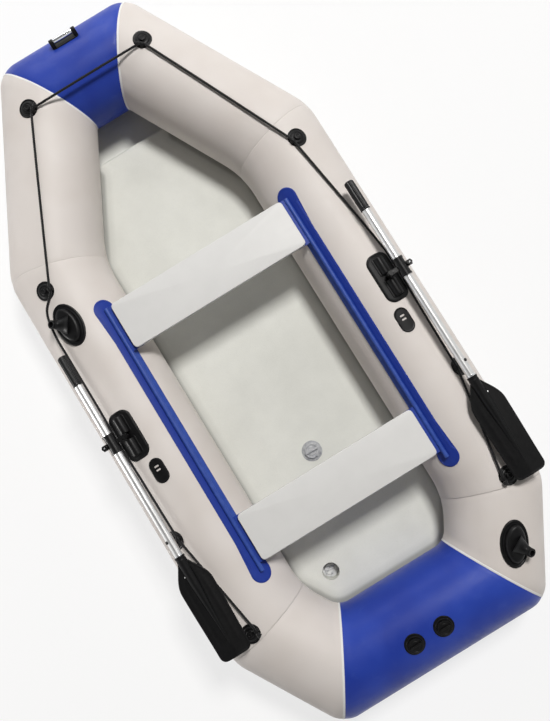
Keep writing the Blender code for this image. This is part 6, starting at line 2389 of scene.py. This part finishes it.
@dataclass
class Studio:
    """Pale floor, soft light and the photograph's camera.

    Args:
        eye: Where the camera stands.
        right: Its right in the world.
        down: Its down in the world.
        focal: Focal length in pixels of the photograph.
        picture: Width and height of the photograph in pixels.
        disc: Radius of the floor, and the heights of its underside and its top.
        whiteness: How much of what the camera sees of the floor is plain white.
    """

    eye: tuple[float, float, float] = (0.02027, -0.33483, 3.07167)
    right: tuple[float, float, float] = (0.85234, -0.52199, -0.03213)
    down: tuple[float, float, float] = (-0.52292, -0.84971, -0.06739)
    focal: float = 785.83
    picture: tuple[int, int] = (550, 721)
    disc: tuple[float, float, float] = (9.0, -0.02, -0.0005)
    whiteness: float = 0.75

    def camera(self) -> None:
        """The camera, with no shift and no depth of field."""
        lens = bpy.data.cameras.new("Camera")
        lens.sensor_fit = "VERTICAL"
        lens.sensor_height = 24.0
        lens.lens = self.focal / self.picture[1] * lens.sensor_height
        lens.clip_start, lens.clip_end = 0.01, 60.0
        made = bpy.data.objects.new("Camera", lens)
        bpy.context.scene.collection.objects.link(made)
        right, down = unit(np.array(self.right)), np.array(self.down)
        up = -unit(down - right * (right @ down))
        made.matrix_world = Matrix(framed(right, up, np.cross(right, up), self.eye).tolist())
        bpy.context.scene.camera = made

    def seen(self, tree: bpy.types.NodeTree) -> bpy.types.NodeSocket:
        """1 for rays from the camera, a mirror or glass."""
        rays = add_node(tree, Kind.CAMERA_RAY)
        for kind in (Kind.MIRROR_RAY, Kind.GLASS_RAY):
            rays = add_node(tree, Kind.LARGER, at0=rays, at1=add_node(tree, kind))
        return rays

    def ground(self) -> None:
        """A wide disc under the boat: seen white, it keeps a quarter of a shadow's depth."""
        radius, low, high = self.disc
        profile = [(0, low), (radius, low), (radius, high), (0, high)]
        made = in_scene(metric_mesh("studio_floor", [turned(profile, shift(), 96)], Shade.CREASED))
        material = bpy.data.materials.new("Matt white studio floor")
        material.use_nodes = True
        tree = material.node_tree
        tree.nodes.clear()
        paint = add_node(tree, Kind.MATT, Color=srgb("#F4F4F4"))
        glow = add_node(tree, Kind.GLOW, Color=(1.0, 1.0, 1.0, 1.0), Strength=1.0)
        share = add_node(tree, Kind.PRODUCT, at0=self.seen(tree), at1=self.whiteness)
        both = add_node(tree, Kind.EITHER, at0=share, at1=paint, at2=glow)
        tree.links.new(both, tree.nodes.new("ShaderNodeOutputMaterial").inputs["Surface"])
        made.data.materials.append(material)

    def world(self) -> None:
        """A backdrop that is white up to 33 degrees and greys towards the ceiling, and a weak warm fill."""
        world = bpy.data.worlds.new("Studio")
        bpy.context.scene.world = world
        world.use_nodes = True
        tree = world.node_tree
        tree.nodes.clear()
        fill = add_node(tree, Kind.SKY, Color=(1.0, 0.97, 0.94, 1.0), Strength=0.13)
        height = add_node(tree, Kind.HEIGHT, Vector=add_node(tree, Kind.WAY))
        grey = add_node(tree, Kind.RAMP, (0.55, 1.0), (0.88, 0.22), Fac=height)
        white = add_node(tree, Kind.SKY, Color=grey, Strength=1.0)
        both = add_node(tree, Kind.EITHER, at0=self.seen(tree), at1=fill, at2=white)
        tree.links.new(both, tree.nodes.new("ShaderNodeOutputWorld").inputs["Surface"])

    def lamp(
        self, name: str, place: Sequence[float], size: float, power: float, warmth: str,
        target: Sequence[float] = (0.0, 0.0, 0.1),
    ) -> None:
        """A square soft box that looks at a target."""
        light = bpy.data.lights.new(name, "AREA")
        light.shape = "SQUARE"
        light.size, light.energy = size, power
        light.color = srgb(warmth)[:3]
        made = bpy.data.objects.new(name, light)
        bpy.context.scene.collection.objects.link(made)
        made.matrix_world = Matrix(aimed(place, target).tolist()) @ Matrix(turn(math.pi, "X").tolist())

    def build(self) -> None:
        """Camera, floor, world and lamps."""
        self.camera()
        self.ground()
        self.world()
        self.lamp("Key soft box", (4.4, 3.8, 11.2), 2.4, 1240.0, "#FFFDFA")
        self.lamp("Bow soft box", (0.2, 3.8, 1.9), 1.4, 22.0, "#FFFFFF", (0.0, 1.2, 0.2))
        self.lamp("Port kicker", (-3.2, 0.2, 0.22), 0.4, 30.0, "#FFFDFB", (-0.5, 0.2, 0.2))
        bpy.context.scene.view_settings.view_transform = "Standard"


def clear_startup() -> None:
    """Removes the startup scene's own cube, light and camera."""
    for name in ("Cube", "Light", "Camera"):
        found = bpy.data.objects.get(name)
        if found is not None:
            bpy.data.objects.remove(found)


def main() -> None:
    """Builds every sub-assembly in order."""
    logging.basicConfig(level=logging.INFO, format="%(name)s: %(message)s")
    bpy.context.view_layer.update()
    clear_startup()
    shop = HullPlan(), Fitter(frame), Finishes().made()
    eyelets = Eyelets(*shop, Eyelets.usual_places())
    boat = [kind(*shop) for kind in (Hull, Floor, SternValves, SeatRails, Oarlocks, Oars)]
    assemblies = [Studio(), *boat, eyelets, Fittings(*shop), GrabLine(*shop, eyelets)]
    for assembly in assemblies:
        assembly.build()
        log.info("%s is ready", type(assembly).__name__)


if __name__ == "__main__":
    main()
